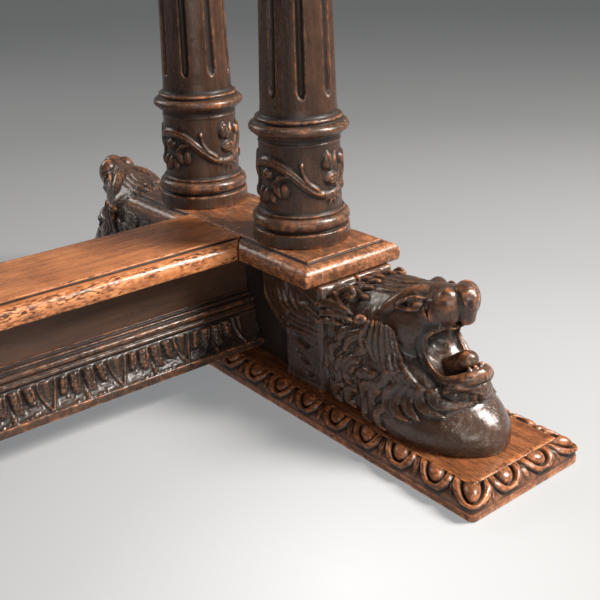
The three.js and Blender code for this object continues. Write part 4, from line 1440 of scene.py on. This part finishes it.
# ---------------------------------------------------------------- plain joinery
def soften(node, material, slot, width):
    """A copy of a CAD node with its arrises eased, worn lighter along them."""
    work = bmesh.new()
    work.from_mesh(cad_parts[node].data)
    bmesh.ops.remove_doubles(work, verts=work.verts, dist=1e-6)
    bmesh.ops.dissolve_limit(
        work, angle_limit=math.radians(1), verts=work.verts, edges=work.edges
    )
    sharp = [edge for edge in work.edges
             if len(edge.link_faces) == 2 and edge.calc_face_angle(0) > math.radians(12)]
    result = bmesh.ops.bevel(
        work, geom=sharp, offset=width * MM, segments=2, profile=0.6, affect="EDGES",
        clamp_overlap=True,
    )
    work.faces.index_update()
    worn = [face.index for face in result["faces"]]
    mesh = bpy.data.meshes.new(node + "_eased")
    for face in work.faces:
        face.smooth = True
    work.to_mesh(mesh)
    work.free()
    layer = mesh.attributes.new("wear_and_shade", "FLOAT", "FACE")
    values = np.full(len(mesh.polygons), 0.5, np.float32)
    values[worn] = 0.78
    layer.data.foreach_set("value", values)
    mesh.set_sharp_from_angle(angle=math.radians(35))
    dress(mesh, node + "_eased", node, material)


def build_plain_joinery():
    oaken = []
    for side in ("right", "left"):
        oaken += [
            (f"core_block_{side}", "core", "carved_oak", 0.8),
            (f"end_bearer_{side}", "inner_y", "frame_oak", 1.2),
            (f"apron_{side}", "frieze_y", "frame_oak", 0.8),
            (f"button_{side}", "inner_y", "frame_oak", 0.6),
            (f"top_clamp_{side}", "top_y", "top_oak", 1.0),
        ]
    for side in ("front", "back"):
        oaken += [
            (f"apron_{side}", "frieze_x", "frame_oak", 0.8),
            (f"button_{side}_1", "inner_y", "frame_oak", 0.6),
            (f"button_{side}_2", "inner_y", "frame_oak", 0.6),
            (f"corner_block_{side}_left", "inner_x", "frame_oak", 1.0),
            (f"corner_block_{side}_right", "inner_x", "frame_oak", 1.0),
        ]
    for row in ("front", "middle", "back"):
        oaken.append((f"top_plank_{row}", "top_x", "top_oak", 1.0))
    oaken.append(("cross_rail", "inner_y", "frame_oak", 1.0))
    oaken.append(("stretcher_beam", "beam", "carved_oak", 0.6))
    for piece in oaken:
        soften(*piece)
    for name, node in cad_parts.items():
        if name.startswith("sole_screw"):
            for slot in node.material_slots:
                slot.material = MATERIALS["steel"]


# ---------------------------------------------------------------- stage
SENSOR_WIDTH = 36
CAMERA = {
    "from_cap": (-542.9, -768.8, 301.7),  # from the right cap's centre, in millimetres
    "heading": -38.227,
    "dip": -23.125,
    "roll": -1.805,
    "lens": 56.0478,
}


def build_camera():
    camera = bpy.data.cameras.new("camera")
    camera.sensor_width = SENSOR_WIDTH
    camera.lens = CAMERA["lens"]
    camera.clip_start = 0.02
    camera.clip_end = 60
    camera.dof.use_dof = False
    piece = bpy.data.objects.new("camera", camera)
    heading, rise = math.radians(CAMERA["heading"]), -math.radians(CAMERA["dip"])
    roll = math.radians(CAMERA["roll"])
    back = Vector((
        math.sin(heading) * math.cos(rise), -math.cos(heading) * math.cos(rise), math.sin(rise)
    ))
    right = Vector((math.cos(heading), math.sin(heading), 0))
    up = back.cross(right)
    turned_right = right * math.cos(roll) + up * math.sin(roll)
    turned_up = -right * math.sin(roll) + up * math.cos(roll)
    turn = Matrix((turned_right, turned_up, back)).transposed().to_4x4()
    x, y, z = CAMERA["from_cap"]
    turn.translation = Vector((x + END_X, y, z + CAP_TOP)) * MM
    piece.matrix_world = turn
    bpy.context.scene.collection.objects.link(piece)
    bpy.context.scene.camera = piece


LIT_PLACE = (0.48, -0.12, 0.12)  # metres; what every light points at
WARM_LIGHT = (1.0, 0.95, 0.89)


def add_light(name, place, size, power):
    light = bpy.data.lights.new(name, "AREA")
    light.shape = "RECTANGLE"
    light.size, light.size_y = size
    light.energy = power
    light.color = WARM_LIGHT
    piece = bpy.data.objects.new(name, light)
    way = Vector(LIT_PLACE) - Vector(place)
    piece.matrix_world = (
        Matrix.Translation(place) @ way.to_track_quat("-Z", "Y").to_matrix().to_4x4()
    )
    bpy.context.scene.collection.objects.link(piece)


def floor_material():
    """A pale floor, brighter near the camera than far off as a painted pool of light."""
    graph = Graph("floor_painted_light")
    far = graph.node("VectorMath", {"operation": "DISTANCE"})
    graph.feed(far.inputs[0], graph.place())
    graph.feed(far.inputs[1], (0.37, -0.36, 0.0))
    distance = graph.product(far.outputs["Value"], 0.25)
    painted_light_ramp = graph.ramp(distance, [
        (0.0, (0.98, 1.0, 1.03)), (0.05, (0.76, 0.78, 0.80)), (0.175, (0.54, 0.55, 0.57)),
        (0.39, (0.37, 0.38, 0.39)), (0.9, (0.31, 0.32, 0.33)),
    ])
    dimmed = graph.node("VectorMath", {"operation": "SCALE"})
    graph.feed(dimmed.inputs[0], painted_light_ramp)
    graph.feed(dimmed.inputs["Scale"], 0.32)
    mottle = graph.noise([3.0] * 3, 2.0)
    rough = graph.math("ADD", graph.product(mottle, 0.1), 0.8)
    # The floor glows a little, as painted light, which softens the shadows on it.
    return graph.finish(
        Base_Color=dimmed.outputs[0], Roughness=rough, Specular_IOR_Level=0.2,
        Emission_Color=painted_light_ramp, Emission_Strength=0.3,
    )


def build_stage():
    mesh = bpy.data.meshes.new("floor")
    half = 9.0
    mesh.from_pydata(
        [(-half, -half, 0), (half, -half, 0), (half, half, 0), (-half, half, 0)], [],
        [(0, 1, 2, 3)],
    )
    mesh.materials.append(floor_material())
    floor = bpy.data.objects.new("floor", mesh)
    bpy.context.scene.collection.objects.link(floor)

    world = bpy.data.worlds.new("studio")
    world.use_nodes = True
    colour, strength = world.node_tree.nodes["Background"].inputs[:2]
    colour.default_value = (*WARM_LIGHT, 1)
    strength.default_value = 0.2
    bpy.context.scene.world = world
    add_light("key", (1.50, -1.12, 1.48), (0.5, 0.9), 108)
    add_light("fill", (-0.45, -1.6, 0.62), (0.9, 0.5), 9)
    add_light("back", (-0.1, 1.9, 1.3), (0.8, 0.8), 16)
    bpy.context.scene.view_settings.view_transform = "Standard"


build_camera()
build_stage()
build_lions()
build_sole_boards()
build_cap_and_head_boards()
build_columns()
build_stretcher_top()
build_stretcher_mouldings()
build_frieze_trim()
build_plain_joinery()
